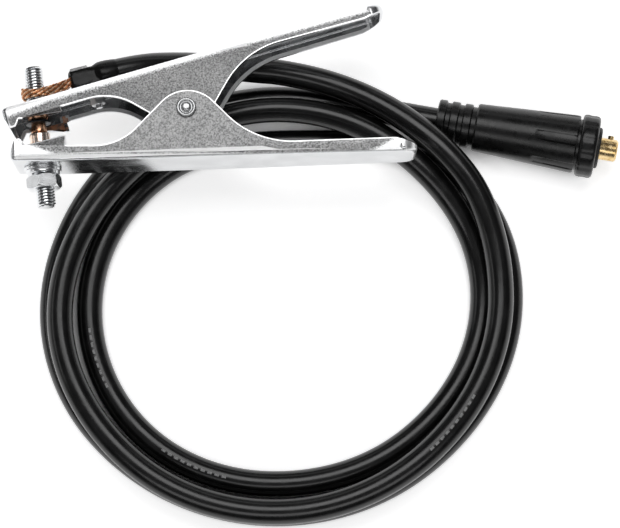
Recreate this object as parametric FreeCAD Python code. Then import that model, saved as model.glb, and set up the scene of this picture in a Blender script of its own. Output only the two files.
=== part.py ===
import FreeCAD, Part
import math
import os

# A work-return lead for arc welding: a sprung clamp of two pressed-steel handles, a coil of
# rubber-covered welding cable, and a bayonet cable plug. The clamp lies on its side on the coil.
# Millimetres, +Z up. The origin is on the resting surface, straight below the clamp's pivot.
# +X runs from the jaws to the handle ends, and the lower handle's back faces -Y.

V = FreeCAD.Vector
UP = V(0, 0, 1)
EAST = V(1, 0, 0)

# clearances
STRAND_GAP = 0.5          # between cable turns that cross
SEAT_GAP = 0.3            # between a piece and the curved face that it rests on
SIDE_GAP = 0.3            # between a cheek of one handle and the next cheek of the other
RUNNING_GAP = 0.05        # radial, of the lower handle on the pivot
FACE_GAP = 0.05           # between flat faces that are drawn up against each other
CONTACT_GAP = 0.1         # between the two contact tips when the jaws are shut

# cable
CABLE_D = 11.0
CONDUCTOR_D = 5.6
FLAT_DEPTH = 0.5          # how far the floor turns are flattened by their own weight
CABLE_R = CABLE_D / 2
FLOOR_LEVEL = CABLE_R - FLAT_DEPTH
UPPER_LEVEL = FLOOR_LEVEL + CABLE_D + STRAND_GAP

# handles
SHEET = 1.5
HANDLE_WIDTH = 28.0
LOWER_TAIL_WIDTH = 24.2   # at the ends that the hand squeezes
UPPER_TAIL_WIDTH = 23.4
TAPER_START = 32.0        # pivot to where the handles start to narrow
TAPER_BEND_R = 60.0
BEND_R = 1.9              # outer radius of the long bends
FRONT_CORNER_R = 2.0
TAIL_CORNER_R = 6.5
LOWER_FRONT = 72.5        # pivot to the jaw end, along the back
UPPER_OVERHANG = 1.5      # of the upper jaw end past the lower one
UPPER_FRONT = LOWER_FRONT + UPPER_OVERHANG
FRONT_UPRIGHT = 3.5
FRONT_SLANT = 1.9         # how far the jaw end leans in over the height of its tooth
TOOTH_HEIGHT = 9.2
TOOTH_WIDTH = 2.1
TOOTH_FLANK = 2.3
CHEEK_HEIGHT = 6.4        # of the cheeks beside the jaws
REAR_TOOTH_X = 49.8       # pivot to the upright edge of the rear tooth
REAR_TOOTH_HEIGHT = 11.0
REAR_TOOTH_TIP = 1.0
REAR_TOOTH_FOLD = 4.0     # depth of the strip folded inward at the rear tooth
REAR_TOOTH_EASE = 0.5
EAR_HALF_LEFT = 17.0      # half width of the ear where its flanks pass EAR_FLANK_Y
LOWER_EAR_RIGHT = 18.5
UPPER_EAR_RIGHT = 17.5
EAR_FLANK_Y = -4.5
EAR_R = 14.7
LEFT_FLANK_SLOPE = 1.07
RIGHT_FLANK_SLOPE = 1.0
LEFT_VALLEY_R = 24.0
RIGHT_VALLEY_R = 37.0
LOWER_TAIL_CHEEK = 5.4    # height of the cheeks beside the tails
UPPER_TAIL_CHEEK = 5.2
TAIL_NOSE = 9.0
TAIL_END_HEIGHT = 3.0
LOWER_BACK = 22.4         # pivot to the lower handle's back face
LOWER_TAIL = 95.6
LOWER_RISE = math.radians(1.92)
RISE_START = -51.0
RISE_BEND_R = 150.0
UPPER_BACK = 22.0
UPPER_TAIL = 91.0
UPPER_RISE = 0.0
UPPER_TURN = 16.4         # degrees from the lower handle's back to the upper one's

# pivot and spring
RIVET_R = 3.0
RIVET_HEAD_R = 4.1
RIVET_HEAD = 1.6
RIVET_BUTTON_R = 2.2
RIVET_BUTTON = 0.9
BUSH_WALL = 1.2
SPRING_WIRE_R = 1.0
SPRING_COIL_R = 5.9
SPRING_TURNS = 5
SPRING_PITCH = 2.6
SPRING_ARM = 30.0

# contact bolts
BOLT_R = 4.0
BOLT_CORE_R = 3.6         # of the thread where something is screwed or wound on it
BOLT_LEAN = 6.6           # degrees, shared by both bolts, so that their tips meet square
CONTACT_FROM_FRONT = 10.3
CONTACT_DROP = 7.7        # from the pivot down to where the tips meet
UPPER_STUD_END = 28.6     # from the contact to the free end of the upper bolt
UPPER_TIP_R = 3.4
UPPER_TIP_TOP_R = 2.9
UPPER_TIP = 5.3
COLLAR_R = 5.2
COLLAR = 1.3
LOWER_TIP_R = 4.3
LOWER_TIP = 5.0
LOWER_STUD_END = 31.6
LOWER_HEAD = 4.4
NUT_FLATS = 13.0
NUT_HEIGHT = 5.5
NUT_TURN = -11.0          # degrees, of its flats about the bolt
CONTACT_WASHER_R = 7.8
CONTACT_WASHER = 1.2
SPRING_WASHER_R = 7.0
SPRING_WASHER = 1.3
SPRING_WASHER_SPLIT = 1.4
BOLT_HOLE_R = 5.0
WASHER_HOLE_R = 4.6
THREAD_CHAMFER = 0.8
THREAD_CLEAR = 0.2        # from the braid or nut to the full thread of the free end

# braid, sleeve and anchor
BRAID_WALL = 1.6
BRAID_HEIGHT = 5.0
BRAID_STRAP = 3.4
BRAID_WIDTH = 9.0
BRAID_NECK = 5.2          # width of the drawn strands where they enter the sleeve
SLEEVE_BACK = 12.6        # from the contact to the sleeve's ends, along the lower handle,
SLEEVE_BACK_END = 31.3    # then up across it, then towards the near side
SLEEVE_RISE = 22.75
SLEEVE_RISE_END = 28.7
SLEEVE_LEVEL = -3.0
SLEEVE_LEVEL_END = -6.8
SLEEVE_MOUTH_R = 4.6
SLEEVE_R = 6.3
SLEEVE_END_R = 5.8        # where it ends on the cable
SLEEVE_WIDENS = 11.0      # length over which the mouth widens to the full radius
SLEEVE_TAPER = 4.0
SLEEVE_BORE_R = 3.6
SLEEVE_CUP = 5.5          # how far the cable goes into the sleeve
FERRULE_WALL = 0.5
FERRULE_INSET = 1.5       # from either end of the sleeve's bore
FOOT_LENGTH = 8.6
FOOT_WIDTH = 8.0
ANCHOR_ALONG = -34.7      # along the upper handle's back, from the pivot
ANCHOR_R = 1.5
ANCHOR_HEAD_R = 2.75
ANCHOR_HEAD = 1.2
ANCHOR_HEAD_UP = 0.6      # from the handle to the underside of the head
ANCHOR_NUT_FLATS = 5.5
ANCHOR_NUT = 4.0
ANCHOR_PROUD = 1.5
ANCHOR_HOLE_R = 1.7

# coil: each stop is a bearing clockwise from +Y in degrees, the reach from the coil's centre
# and the height of the cable's centre line. Three rounds: an upper outer one, an inner one on
# the floor and an outer one on the floor, as the turns lie in the coil.
COIL_CENTRE = V(38.5, -74.0, 0)
COIL_STOPS = (
    (0, 98.5, 16.2),
    (10, 96.5, 16.5),
    (20, 94.7, 18.0),
    (31, 94.1, 20.0),
    (37, 93.5, 20.9),
    (45, 93.8, 22.0),
    (58, 95.2, 20.9),
    (80, 93.7, 16.9),
    (90, 93.5, UPPER_LEVEL),
    (135, 90.0, UPPER_LEVEL),
    (180, 89.9, UPPER_LEVEL),
    (225, 92.7, UPPER_LEVEL),
    (270, 93.2, UPPER_LEVEL),
    (287, 89.9, UPPER_LEVEL),
    (315, 84.8, UPPER_LEVEL),
    (360, 82.3, UPPER_LEVEL),
    (390, 82.4, UPPER_LEVEL),
    (405, 82.8, 15.8),
    (420, 84.9, 12.0),
    (438, 87.2, 6.5),
    (450, 86.7, FLOOR_LEVEL),
    (495, 80.4, FLOOR_LEVEL),
    (540, 77.3, FLOOR_LEVEL),
    (560, 78.7, FLOOR_LEVEL),
    (585, 81.1, FLOOR_LEVEL),
    (630, 81.8, FLOOR_LEVEL),
    (682, 76.0, FLOOR_LEVEL),
    (720, 70.0, FLOOR_LEVEL),
    (735, 72.5, FLOOR_LEVEL),
    (750, 80.0, FLOOR_LEVEL),
    (765, 89.5, FLOOR_LEVEL),
    (780, 96.8, FLOOR_LEVEL),
    (795, 98.9, FLOOR_LEVEL),
    (810, 98.4, FLOOR_LEVEL),
    (855, 91.9, FLOOR_LEVEL),
    (900, 89.7, FLOOR_LEVEL),
    (945, 93.8, FLOOR_LEVEL),
    (962, 96.5, FLOOR_LEVEL),
    (985, 97.9, FLOOR_LEVEL),
    (1010, 95.6, FLOOR_LEVEL),
    (1035, 92.9, FLOOR_LEVEL),
    (1069, 89.9, FLOOR_LEVEL),
    (1080, 89.7, FLOOR_LEVEL + 0.05),
    (1088, 89.9, FLOOR_LEVEL + 0.25),
)
COIL_STEPS_PER_ROUND = 24

# free stretches of cable: the chosen points between the straight runs at their ends
LEAD_FROM_SLEEVE = 10.0
LEAD_POINT = V(-3.5, 27.1, 20.7)
LEAD_TO_COIL = 16.0
PLUG_LEAD_FROM_COIL = 11.0
PLUG_LEAD_TO_PLUG = 15.0

# plug: lengths run forward from its rear face
PLUG_REAR = V(105.9, 5.0, 9.95)
PLUG_TURN = -10.8         # degrees, of the plug's axis from +X towards +Y
PLUG_TILT = 3.5           # degrees, of its front above its rear
BOOT_RINGS = 3
BOOT_RING = 3.6
BOOT_NECK = 2.0
BOOT_RING_R = 9.5
BOOT_NECK_R = 8.6
BODY_LENGTH = 44.2
BODY_REAR_R = 10.3
BODY_FRONT_R = 12.5
BODY_NECK = 1.0
BODY_NECK_R = 11.0
COLLAR_RING_LENGTH = 7.5
COLLAR_RING_R = 13.4
COLLAR_RING_EDGE = 1.4
FLANGE_R = 8.8
FLANGE = 2.5
INSERT_PROUD = 1.5
PIN_R = 4.75
PIN_ROOT_R = 5.1
PIN_LENGTH = 7.4
PIN_CHAMFER = 0.8
NUB_R = 1.3
NUB_PROUD = 1.2
NUB_FROM_END = 3.4
SHANK_R = 6.0
SOCKET_DEPTH = 20.0
JACKET_INTO_BODY = 4.0
STRIPPED = 1.0
GRUB_R = 2.5
GRUB_PLACES = (5.0, 12.0)


def rounded_outline(corners):
    """A closed wire through (x, y, radius) corners, with each corner rounded by its radius."""
    count = len(corners)
    starts = []
    ends = []
    middles = []
    for i in range(count):
        x, y, radius = corners[i]
        here = V(x, y, 0)
        back = V(*corners[i - 1][:2], 0) - here
        ahead = V(*corners[(i + 1) % count][:2], 0) - here
        back.normalize()
        ahead.normalize()
        if radius == 0:
            starts.append(here)
            ends.append(here)
            middles.append(None)
            continue
        half = back.getAngle(ahead) / 2
        reach = radius / math.tan(half)
        inward = back + ahead
        inward.normalize()
        starts.append(here + back * reach)
        ends.append(here + ahead * reach)
        middles.append(here + inward * (radius / math.sin(half) - radius))
    edges = []
    for i in range(count):
        if middles[i] is not None:
            edges.append(Part.Arc(starts[i], middles[i], ends[i]).toShape())
        following = starts[(i + 1) % count]
        if (following - ends[i]).Length > 1e-6:
            edges.append(Part.LineSegment(ends[i], following).toShape())
    return Part.Wire(edges)


def prism(outline, bottom, height):
    """An upright block of an outline drawn in the XY plane."""
    face = Part.Face(outline)
    face.translate(V(0, 0, bottom))
    return face.extrude(V(0, 0, height))


def rod(radius, start, direction, length):
    return Part.makeCylinder(radius, length, start, direction)


def ring(outer, inner, start, direction, length):
    return rod(outer, start, direction, length).cut(rod(inner, start, direction, length))


def hexagon(flats, start, direction, length, turn=0.0):
    """A hexagonal block whose flats are this far apart, turned by so many degrees."""
    across = flats / math.sqrt(3)
    points = []
    for i in range(7):
        angle = math.radians(60 * i + turn)
        points.append(V(across * math.cos(angle), across * math.sin(angle), 0))
    block = Part.Face(Part.makePolygon(points)).extrude(V(0, 0, length))
    block.Placement = FreeCAD.Placement(start, FreeCAD.Rotation(UP, direction))
    return block


def chamfered_nut(flats, hole_r, start, direction, length, turn=0.0):
    """A hexagon nut with its corners turned off at both ends and a hole."""
    corner = flats / math.sqrt(3)
    turned = Part.makeCone(
        corner - 0.15 * flats / 2, corner + 0.6 * length, length * 0.75, start, direction
    )
    far_end = start + direction * length
    turned_back = Part.makeCone(
        corner - 0.15 * flats / 2, corner + 0.6 * length, length * 0.75, far_end, -direction
    )
    block = hexagon(flats, start, direction, length, turn)
    near_half = block.common(turned)
    far_half = block.common(turned_back)
    return near_half.fuse(far_half).removeSplitter().cut(rod(hole_r, start, direction, length))


def stud(radius, start, direction, length):
    """A rod with a chamfer at its far end."""
    plain = rod(radius, start, direction, length - THREAD_CHAMFER)
    tip_start = start + direction * (length - THREAD_CHAMFER)
    tip = Part.makeCone(radius, radius - THREAD_CHAMFER, THREAD_CHAMFER, tip_start, direction)
    return plain.fuse(tip)


def contact_bolt(start, free_start, end, direction, head):
    """A bolt at its thread's core radius, with the full radius on its free end, and a head."""
    core = rod(BOLT_CORE_R, start, direction, (free_start - start).Length)
    free_end = stud(BOLT_R, free_start, direction, (end - free_start).Length)
    return core.fuse(free_end).fuse(head).removeSplitter()


def back_height(back, rise, x):
    """How low the outer back face of a handle is at x, in the handle's own frame."""
    return -back + max(0.0, x - RISE_START) * math.tan(rise)


def pressed_block(side, plan, back_line, bend):
    """A block with a side outline and a plan outline, with the edges of its back rounded."""
    block = prism(side, -HANDLE_WIDTH, 2 * HANDLE_WIDTH)
    plan_block = Part.Face(plan).extrude(UP * 2 * HANDLE_WIDTH)
    plan_block.translate(UP * -HANDLE_WIDTH)
    plan_block.rotate(V(0, 0, 0), EAST, 90)
    block = block.common(plan_block)
    back_edges = []
    for edge in block.Edges:
        middle = edge.valueAt((edge.FirstParameter + edge.LastParameter) / 2)
        points = [vertex.Point for vertex in edge.Vertexes] + [middle]
        touches = all(abs(point.y - back_line(point.x)) < 0.05 for point in points)
        near_bend = abs(middle.x - RISE_START) < HANDLE_WIDTH / 2
        crosses = edge.BoundBox.ZLength > HANDLE_WIDTH / 2 and near_bend
        if touches and not crosses:
            back_edges.append(edge)
    return block.makeFillet(bend, back_edges)


def pressed_handle(back, rise, front, ear_right, tail, tail_width, tail_cheek):
    """One handle in its own frame: pivot at the origin, back towards -Y, centred on z = 0."""
    half = HANDLE_WIDTH / 2
    tail_half = tail_width / 2
    jaw_top = -back + CHEEK_HEIGHT
    tail_back = back_height(back, rise, tail)
    flank_left = -EAR_HALF_LEFT - (EAR_FLANK_Y - jaw_top) / LEFT_FLANK_SLOPE
    tail_edge_start = back_height(back, rise, ear_right) + tail_cheek
    flank_right = ear_right + (EAR_FLANK_Y - tail_edge_start) / RIGHT_FLANK_SLOPE
    apex_x = (
        RIGHT_FLANK_SLOPE * ear_right - LEFT_FLANK_SLOPE * EAR_HALF_LEFT
    ) / (LEFT_FLANK_SLOPE + RIGHT_FLANK_SLOPE)
    apex_y = EAR_FLANK_Y + LEFT_FLANK_SLOPE * (apex_x + EAR_HALF_LEFT)
    tooth_front = -front + FRONT_SLANT
    bent = rise != 0
    side = rounded_outline(
        [
            (-front, -back, 0),
            (-front, -back + FRONT_UPRIGHT, 0),
            (tooth_front, -back + TOOTH_HEIGHT, 0.8),
            (tooth_front + TOOTH_WIDTH, -back + TOOTH_HEIGHT, 0.8),
            (tooth_front + TOOTH_WIDTH + TOOTH_FLANK, jaw_top, 0.5),
            (-REAR_TOOTH_X - REAR_TOOTH_TIP, -back + REAR_TOOTH_HEIGHT, 0.4),
            (-REAR_TOOTH_X, -back + REAR_TOOTH_HEIGHT, 0.4),
            (-REAR_TOOTH_X, jaw_top, 0.6),
            (flank_left, jaw_top, LEFT_VALLEY_R),
            (apex_x, apex_y, EAR_R),
            (flank_right, tail_edge_start, RIGHT_VALLEY_R),
            (tail - TAIL_NOSE, tail_back + tail_cheek, TAIL_NOSE),
            (tail, tail_back + TAIL_END_HEIGHT, 0),
            (tail, tail_back, 0),
        ]
        + ([(RISE_START, -back, RISE_BEND_R)] if bent else [])
    )
    plan = rounded_outline(
        [
            (-front, -half, FRONT_CORNER_R),
            (TAPER_START, -half, TAPER_BEND_R),
            (tail, -tail_half, TAIL_CORNER_R),
            (tail, tail_half, TAIL_CORNER_R),
            (TAPER_START, half, TAPER_BEND_R),
            (-front, half, FRONT_CORNER_R),
        ]
    )
    outer = pressed_block(side, plan, lambda x: back_height(back, rise, x), BEND_R)
    inner_half = half - SHEET
    inner_tail_half = tail_half - SHEET
    inner_front = -front + SHEET
    inner_tail = tail - SHEET
    inner_side = rounded_outline(
        [
            (inner_front, -back + SHEET, 0),
            (inner_front, EAR_R * 2, 0),
            (inner_tail, EAR_R * 2, 0),
            (inner_tail, back_height(back, rise, inner_tail) + SHEET, 0),
        ]
        + ([(RISE_START, -back + SHEET, RISE_BEND_R - SHEET)] if bent else [])
    )
    inner_plan = rounded_outline(
        [
            (inner_front, -inner_half, FRONT_CORNER_R - SHEET),
            (TAPER_START, -inner_half, TAPER_BEND_R - SHEET),
            (inner_tail, -inner_tail_half, TAIL_CORNER_R - SHEET),
            (inner_tail, inner_tail_half, TAIL_CORNER_R - SHEET),
            (TAPER_START, inner_half, TAPER_BEND_R - SHEET),
            (inner_front, inner_half, FRONT_CORNER_R - SHEET),
        ]
    )
    hollow = pressed_block(
        inner_side, inner_plan, lambda x: back_height(back, rise, x) + SHEET, BEND_R - SHEET
    )
    shell = outer.cut(hollow)
    fold_height = REAR_TOOTH_HEIGHT - CHEEK_HEIGHT + SHEET
    for low_z in (-inner_half - SHEET / 2, inner_half - REAR_TOOTH_FOLD):
        strip = Part.makeBox(
            SHEET,
            fold_height - REAR_TOOTH_EASE,
            REAR_TOOTH_FOLD + SHEET / 2,
            V(-REAR_TOOTH_X - SHEET, jaw_top - SHEET, low_z),
        )
        shell = shell.fuse(strip)
    return shell.removeSplitter()


def turned_about_pivot(shape, degrees):
    copy = shape.copy()
    copy.rotate(V(0, 0, 0), UP, degrees)
    return copy


def spatial_biarc(start, start_dir, end, end_dir):
    """Two arcs that leave start along start_dir and reach end along end_dir."""
    chord = end - start
    both = start_dir + end_dir
    spread = 2 * (1 - start_dir.dot(end_dir))
    along = chord.dot(both)
    if spread < 1e-9:
        reach = chord.Length ** 2 / (2 * along)
    else:
        root = math.sqrt(along ** 2 + spread * chord.Length ** 2)
        reach = (root - along) / spread
    first = start + start_dir * reach
    second = end - end_dir * reach
    joint = (first + second) * 0.5
    return [arc_by_corner(start, first, joint), arc_by_corner(joint, second, end)]


def arc_by_corner(start, corner, end):
    """The arc that touches both legs of a corner whose legs are equally long, or a line."""
    chord_middle = (start + end) * 0.5
    if (corner - chord_middle).Length < 1e-4:
        return Part.LineSegment(start, end).toShape()
    weight = (chord_middle - start).Length / (corner - start).Length
    middle = (chord_middle + corner * weight) * (1 / (1 + weight))
    return Part.Arc(start, middle, end).toShape()


def slopes_of(stops, column):
    """The slope of one column at each stop, eased so that level stretches stay level."""
    slopes = []
    for i in range(len(stops)):
        if i == 0 or i == len(stops) - 1:
            j = 1 if i == 0 else i
            rate = (stops[j][column] - stops[j - 1][column]) / (stops[j][0] - stops[j - 1][0])
            slopes.append(rate)
            continue
        before = stops[i][0] - stops[i - 1][0]
        after = stops[i + 1][0] - stops[i][0]
        rate_in = (stops[i][column] - stops[i - 1][column]) / before
        rate_out = (stops[i + 1][column] - stops[i][column]) / after
        slopes.append((rate_in * after + rate_out * before) / (before + after))
    return slopes


def eased(stops, slopes, column, bearing):
    """A smooth reading of one column between the stops."""
    i = 0
    while i < len(stops) - 2 and bearing > stops[i + 1][0]:
        i += 1
    span = stops[i + 1][0] - stops[i][0]
    t = (bearing - stops[i][0]) / span
    a = stops[i][column]
    b = stops[i + 1][column]
    rise = 3 * t ** 2 - 2 * t ** 3
    lead_in = (t ** 3 - 2 * t ** 2 + t) * span * slopes[i]
    lead_out = (t ** 3 - t ** 2) * span * slopes[i + 1]
    return a + (b - a) * rise + lead_in + lead_out


REACH_SLOPES = slopes_of(COIL_STOPS, 1)
HEIGHT_SLOPES = slopes_of(COIL_STOPS, 2)


def coil_point(bearing):
    reach = eased(COIL_STOPS, REACH_SLOPES, 1, bearing)
    height = eased(COIL_STOPS, HEIGHT_SLOPES, 2, bearing)
    height = max(height, FLOOR_LEVEL)
    angle = math.radians(bearing)
    return COIL_CENTRE + V(reach * math.sin(angle), reach * math.cos(angle), height)


def coil_heading(bearing):
    step = 0.5
    heading = coil_point(bearing + step) - coil_point(bearing - step)
    heading.normalize()
    return heading


def coil_bearings():
    first = COIL_STOPS[0][0]
    last = COIL_STOPS[-1][0]
    count = round((last - first) / 360 * COIL_STEPS_PER_ROUND)
    return [first + (last - first) * i / count for i in range(count + 1)]


def tube_on(path_edges, start, heading, radius):
    """A solid tube of a radius along a chain of tangent edges."""
    path = Part.Wire(path_edges)
    circle = Part.Wire(Part.Circle(start, heading, radius).toShape())
    return path.makePipeShell([circle], True, False)


def route(points):
    """Straight runs joined by tangent arcs, as large as the runs allow, with their radii."""
    edges = []
    radii = []
    here = points[0]
    for i in range(1, len(points) - 1):
        back = points[i - 1] - points[i]
        ahead = points[i + 1] - points[i]
        turn = math.pi - back.getAngle(ahead)
        reach = 0.45 * min(back.Length, ahead.Length)
        radii.append(reach / math.tan(turn / 2))
        back.normalize()
        ahead.normalize()
        arc_start = points[i] + back * reach
        arc_end = points[i] + ahead * reach
        edges.append(Part.LineSegment(here, arc_start).toShape())
        edges.append(arc_by_corner(arc_start, points[i], arc_end))
        here = arc_end
    edges.append(Part.LineSegment(here, points[-1]).toShape())
    return edges, radii


def route_tube(points, radius):
    edges, radii = route(points)
    heading = points[1] - points[0]
    heading.normalize()
    return tube_on(edges, points[0], heading, radius), edges, radii


os.makedirs("parts", exist_ok=True)
nodes = {}

# levels of the clamp over the coil
upper_far_face = UPPER_LEVEL + CABLE_R + SEAT_GAP + RIVET_HEAD
upper_mid = upper_far_face + HANDLE_WIDTH / 2
lower_mid = upper_mid + SHEET + SIDE_GAP
contact_level = (upper_mid + lower_mid) / 2

# the two handles
upper_blank = pressed_handle(
    UPPER_BACK,
    UPPER_RISE,
    UPPER_FRONT,
    UPPER_EAR_RIGHT,
    UPPER_TAIL,
    UPPER_TAIL_WIDTH,
    UPPER_TAIL_CHEEK,
)
upper_blank.rotate(V(0, 0, 0), EAST, 180)
upper_blank = turned_about_pivot(upper_blank, UPPER_TURN)
upper_blank.translate(UP * upper_mid)
lower_blank = pressed_handle(
    LOWER_BACK,
    LOWER_RISE,
    LOWER_FRONT,
    LOWER_EAR_RIGHT,
    LOWER_TAIL,
    LOWER_TAIL_WIDTH,
    LOWER_TAIL_CHEEK,
)
lower_blank.translate(UP * lower_mid)

rivet_start = V(0, 0, upper_far_face)
rivet_length = HANDLE_WIDTH + SHEET + SIDE_GAP
pivot_hole = rod(RIVET_R + RUNNING_GAP, V(0, 0, 0), UP, 2 * lower_mid)
upper_blank = upper_blank.cut(pivot_hole)
lower_blank = lower_blank.cut(pivot_hole)

# the bolts' shared axis, leaning so that the upper end lies further from the pivot
lean = math.radians(BOLT_LEAN)
lean_room = NUT_FLATS / math.sqrt(3) * math.sin(lean) + FACE_GAP
bolt_up = V(-math.sin(lean), math.cos(lean), 0)
bolt_down = bolt_up * -1
contact = V(CONTACT_FROM_FRONT - LOWER_FRONT, -CONTACT_DROP, contact_level)
upper_normal = V(-math.sin(math.radians(UPPER_TURN)), math.cos(math.radians(UPPER_TURN)), 0)
upper_along = V(upper_normal.y, -upper_normal.x, 0)


def on_upper_back(depth):
    """Where the bolts' axis crosses a plane this far from the pivot, along the upper normal."""
    travel = (depth - contact.dot(upper_normal)) / bolt_up.dot(upper_normal)
    return contact + bolt_up * travel


def on_lower_back(depth):
    """Where the bolts' axis crosses a plane this far below the pivot."""
    return contact + bolt_down * ((contact.y + depth) / bolt_up.y)


plate_top = on_upper_back(UPPER_BACK)
upper_blank = upper_blank.cut(
    rod(BOLT_HOLE_R, plate_top - upper_normal * 2 * SHEET, upper_normal, 4 * SHEET)
)
plate_bottom = on_lower_back(LOWER_BACK)
lower_blank = lower_blank.cut(
    rod(BOLT_HOLE_R, plate_bottom - V(0, 2 * SHEET, 0), V(0, 1, 0), 4 * SHEET)
)

# the sleeve's ends, and the anchor hole through the upper back plate
sleeve_start = contact + V(SLEEVE_BACK, SLEEVE_RISE, SLEEVE_LEVEL)
sleeve_end = contact + V(SLEEVE_BACK_END, SLEEVE_RISE_END, SLEEVE_LEVEL_END)
sleeve_axis = sleeve_end - sleeve_start
sleeve_length = sleeve_axis.Length
sleeve_axis.normalize()
anchor_share = (ANCHOR_ALONG - sleeve_start.dot(upper_along)) / sleeve_axis.dot(upper_along)
anchor_level = (sleeve_start + sleeve_axis * anchor_share).z
anchor_base = upper_along * ANCHOR_ALONG + upper_normal * UPPER_BACK + UP * anchor_level
upper_blank = upper_blank.cut(
    rod(ANCHOR_HOLE_R, anchor_base - upper_normal * 2 * SHEET, upper_normal, 4 * SHEET)
)

nodes["upper_handle"] = upper_blank
nodes["lower_handle"] = lower_blank

# pivot: a shouldered rivet with a button at its near end, and a bush between the cheeks
rivet = rod(RIVET_R, rivet_start, UP, rivet_length)
rivet = rivet.fuse(rod(RIVET_HEAD_R, rivet_start - UP * RIVET_HEAD, UP, RIVET_HEAD - FACE_GAP))
rivet = rivet.fuse(rod(RIVET_R, rivet_start - UP * FACE_GAP, UP, FACE_GAP))
near_face = rivet_start + UP * rivet_length
rivet = rivet.fuse(rod(RIVET_HEAD_R, near_face + UP * FACE_GAP, UP, RIVET_HEAD - FACE_GAP))
rivet = rivet.fuse(rod(RIVET_R, near_face, UP, FACE_GAP))
button_start = near_face + UP * RIVET_HEAD
rivet = rivet.fuse(rod(RIVET_BUTTON_R, button_start, UP, RIVET_BUTTON))
nodes["pivot_rivet"] = rivet.removeSplitter()

bush_low = lower_mid - HANDLE_WIDTH / 2 + SHEET + SIDE_GAP
bush_high = upper_mid + HANDLE_WIDTH / 2 - SHEET - SIDE_GAP
bush_inner = RIVET_R + RUNNING_GAP
bush_outer = bush_inner + BUSH_WALL
nodes["pivot_bush"] = ring(bush_outer, bush_inner, V(0, 0, bush_low), UP, bush_high - bush_low)

# spring: a helix round the bush with two arms that push the tails apart
coil_height = SPRING_TURNS * SPRING_PITCH
helix_low = (bush_low + bush_high - coil_height) / 2
upper_plate = UPPER_BACK - SHEET
lower_plate = -back_height(LOWER_BACK, LOWER_RISE, SPRING_ARM) - SHEET


def arm_spread(plate):
    """How far an arm turns off the pivot's line to rest by a plate this far from the pivot."""
    reach = plate - SEAT_GAP - SPRING_WIRE_R
    full = math.hypot(SPRING_ARM, SPRING_COIL_R)
    return math.asin(reach / full) - math.atan2(SPRING_COIL_R, SPRING_ARM)


# the wire comes in along the lower arm, winds clockwise and leaves along the upper arm
first_angle = -arm_spread(lower_plate) - math.pi / 2
last_angle = math.radians(UPPER_TURN) + arm_spread(upper_plate) + math.pi / 2
swept = first_angle - last_angle + 2 * math.pi * SPRING_TURNS


def spring_point(travel):
    angle = first_angle - travel
    climb = coil_height * travel / swept
    across = SPRING_COIL_R * math.cos(angle)
    return V(across, SPRING_COIL_R * math.sin(angle), helix_low + climb)


def spring_heading(travel):
    angle = first_angle - travel
    heading = V(math.sin(angle), -math.cos(angle), coil_height / swept / SPRING_COIL_R)
    heading.normalize()
    return heading


spring_steps = SPRING_TURNS * 4
spring_travels = [swept * i / spring_steps for i in range(spring_steps + 1)]
lower_arm_end = spring_point(0) - spring_heading(0) * SPRING_ARM
spring_edges = [Part.LineSegment(lower_arm_end, spring_point(0)).toShape()]
for here, there in zip(spring_travels, spring_travels[1:]):
    spring_edges += spatial_biarc(
        spring_point(here), spring_heading(here), spring_point(there), spring_heading(there)
    )
upper_arm_end = spring_point(swept) + spring_heading(swept) * SPRING_ARM
spring_edges.append(Part.LineSegment(spring_point(swept), upper_arm_end).toShape())
nodes["torsion_spring"] = tube_on(
    spring_edges, lower_arm_end, spring_heading(0), SPRING_WIRE_R
)

# upper contact: a bolt with a flat inner collar and a copper tip, loose in its hole
upper_tip_start = contact + bolt_up * (CONTACT_GAP / 2)
upper_tip_top = upper_tip_start + bolt_up * (UPPER_TIP + FACE_GAP)
nodes["upper_contact_tip"] = Part.makeCone(
    UPPER_TIP_R, UPPER_TIP_TOP_R, UPPER_TIP, upper_tip_start, bolt_up
)
washer_start = plate_top + upper_normal * FACE_GAP
nodes["upper_plain_washer"] = ring(
    CONTACT_WASHER_R, WASHER_HOLE_R, washer_start, upper_normal, CONTACT_WASHER
)

# bare copper strands: wound round the upper bolt, then drawn together into the sleeve
tilt_room = (BOLT_R + BRAID_WALL) * math.sin(math.radians(UPPER_TURN - BOLT_LEAN))
braid_base = on_upper_back(UPPER_BACK + FACE_GAP + CONTACT_WASHER + tilt_room + FACE_GAP)
wound = rod(BOLT_R + BRAID_WALL, braid_base, bolt_up, BRAID_HEIGHT)
strap_start = braid_base + bolt_up * (BRAID_HEIGHT / 2) + EAST * BOLT_R
strap_end = sleeve_start - sleeve_axis * SEAT_GAP
upper_bolt_end = contact + bolt_up * UPPER_STUD_END
upper_free_start = braid_base + bolt_up * (BRAID_HEIGHT + THREAD_CLEAR)
upper_collar = rod(COLLAR_R, upper_tip_top, bolt_up, COLLAR)
nodes["upper_contact_bolt"] = contact_bolt(
    upper_tip_top, upper_free_start, upper_bolt_end, bolt_up, upper_collar
)


def strap_section(centre, heading, width, thickness):
    across = heading.cross(UP)
    across.normalize()
    upward = across.cross(heading)
    upward.normalize()
    half_w = upward * (width / 2)
    half_t = across * (thickness / 2)
    corners = [
        centre + half_w + half_t,
        centre + half_w - half_t,
        centre - half_w - half_t,
        centre - half_w + half_t,
    ]
    return Part.makePolygon(corners + corners[:1])


strap = Part.makeLoft(
    [
        strap_section(strap_start, sleeve_axis, BRAID_WIDTH, BRAID_STRAP),
        strap_section(strap_end, sleeve_axis, BRAID_NECK, BRAID_STRAP),
    ],
    True,
    True,
)
core_start = strap_end - sleeve_axis * SEAT_GAP
core = rod(CONDUCTOR_D / 2, core_start, sleeve_axis, sleeve_length - SLEEVE_CUP)
braid = wound.fuse(strap).fuse(core)
braid = braid.cut(rod(BOLT_CORE_R + SEAT_GAP, contact, bolt_up, 2 * UPPER_STUD_END))
nodes["copper_braid"] = braid.removeSplitter()

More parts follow.
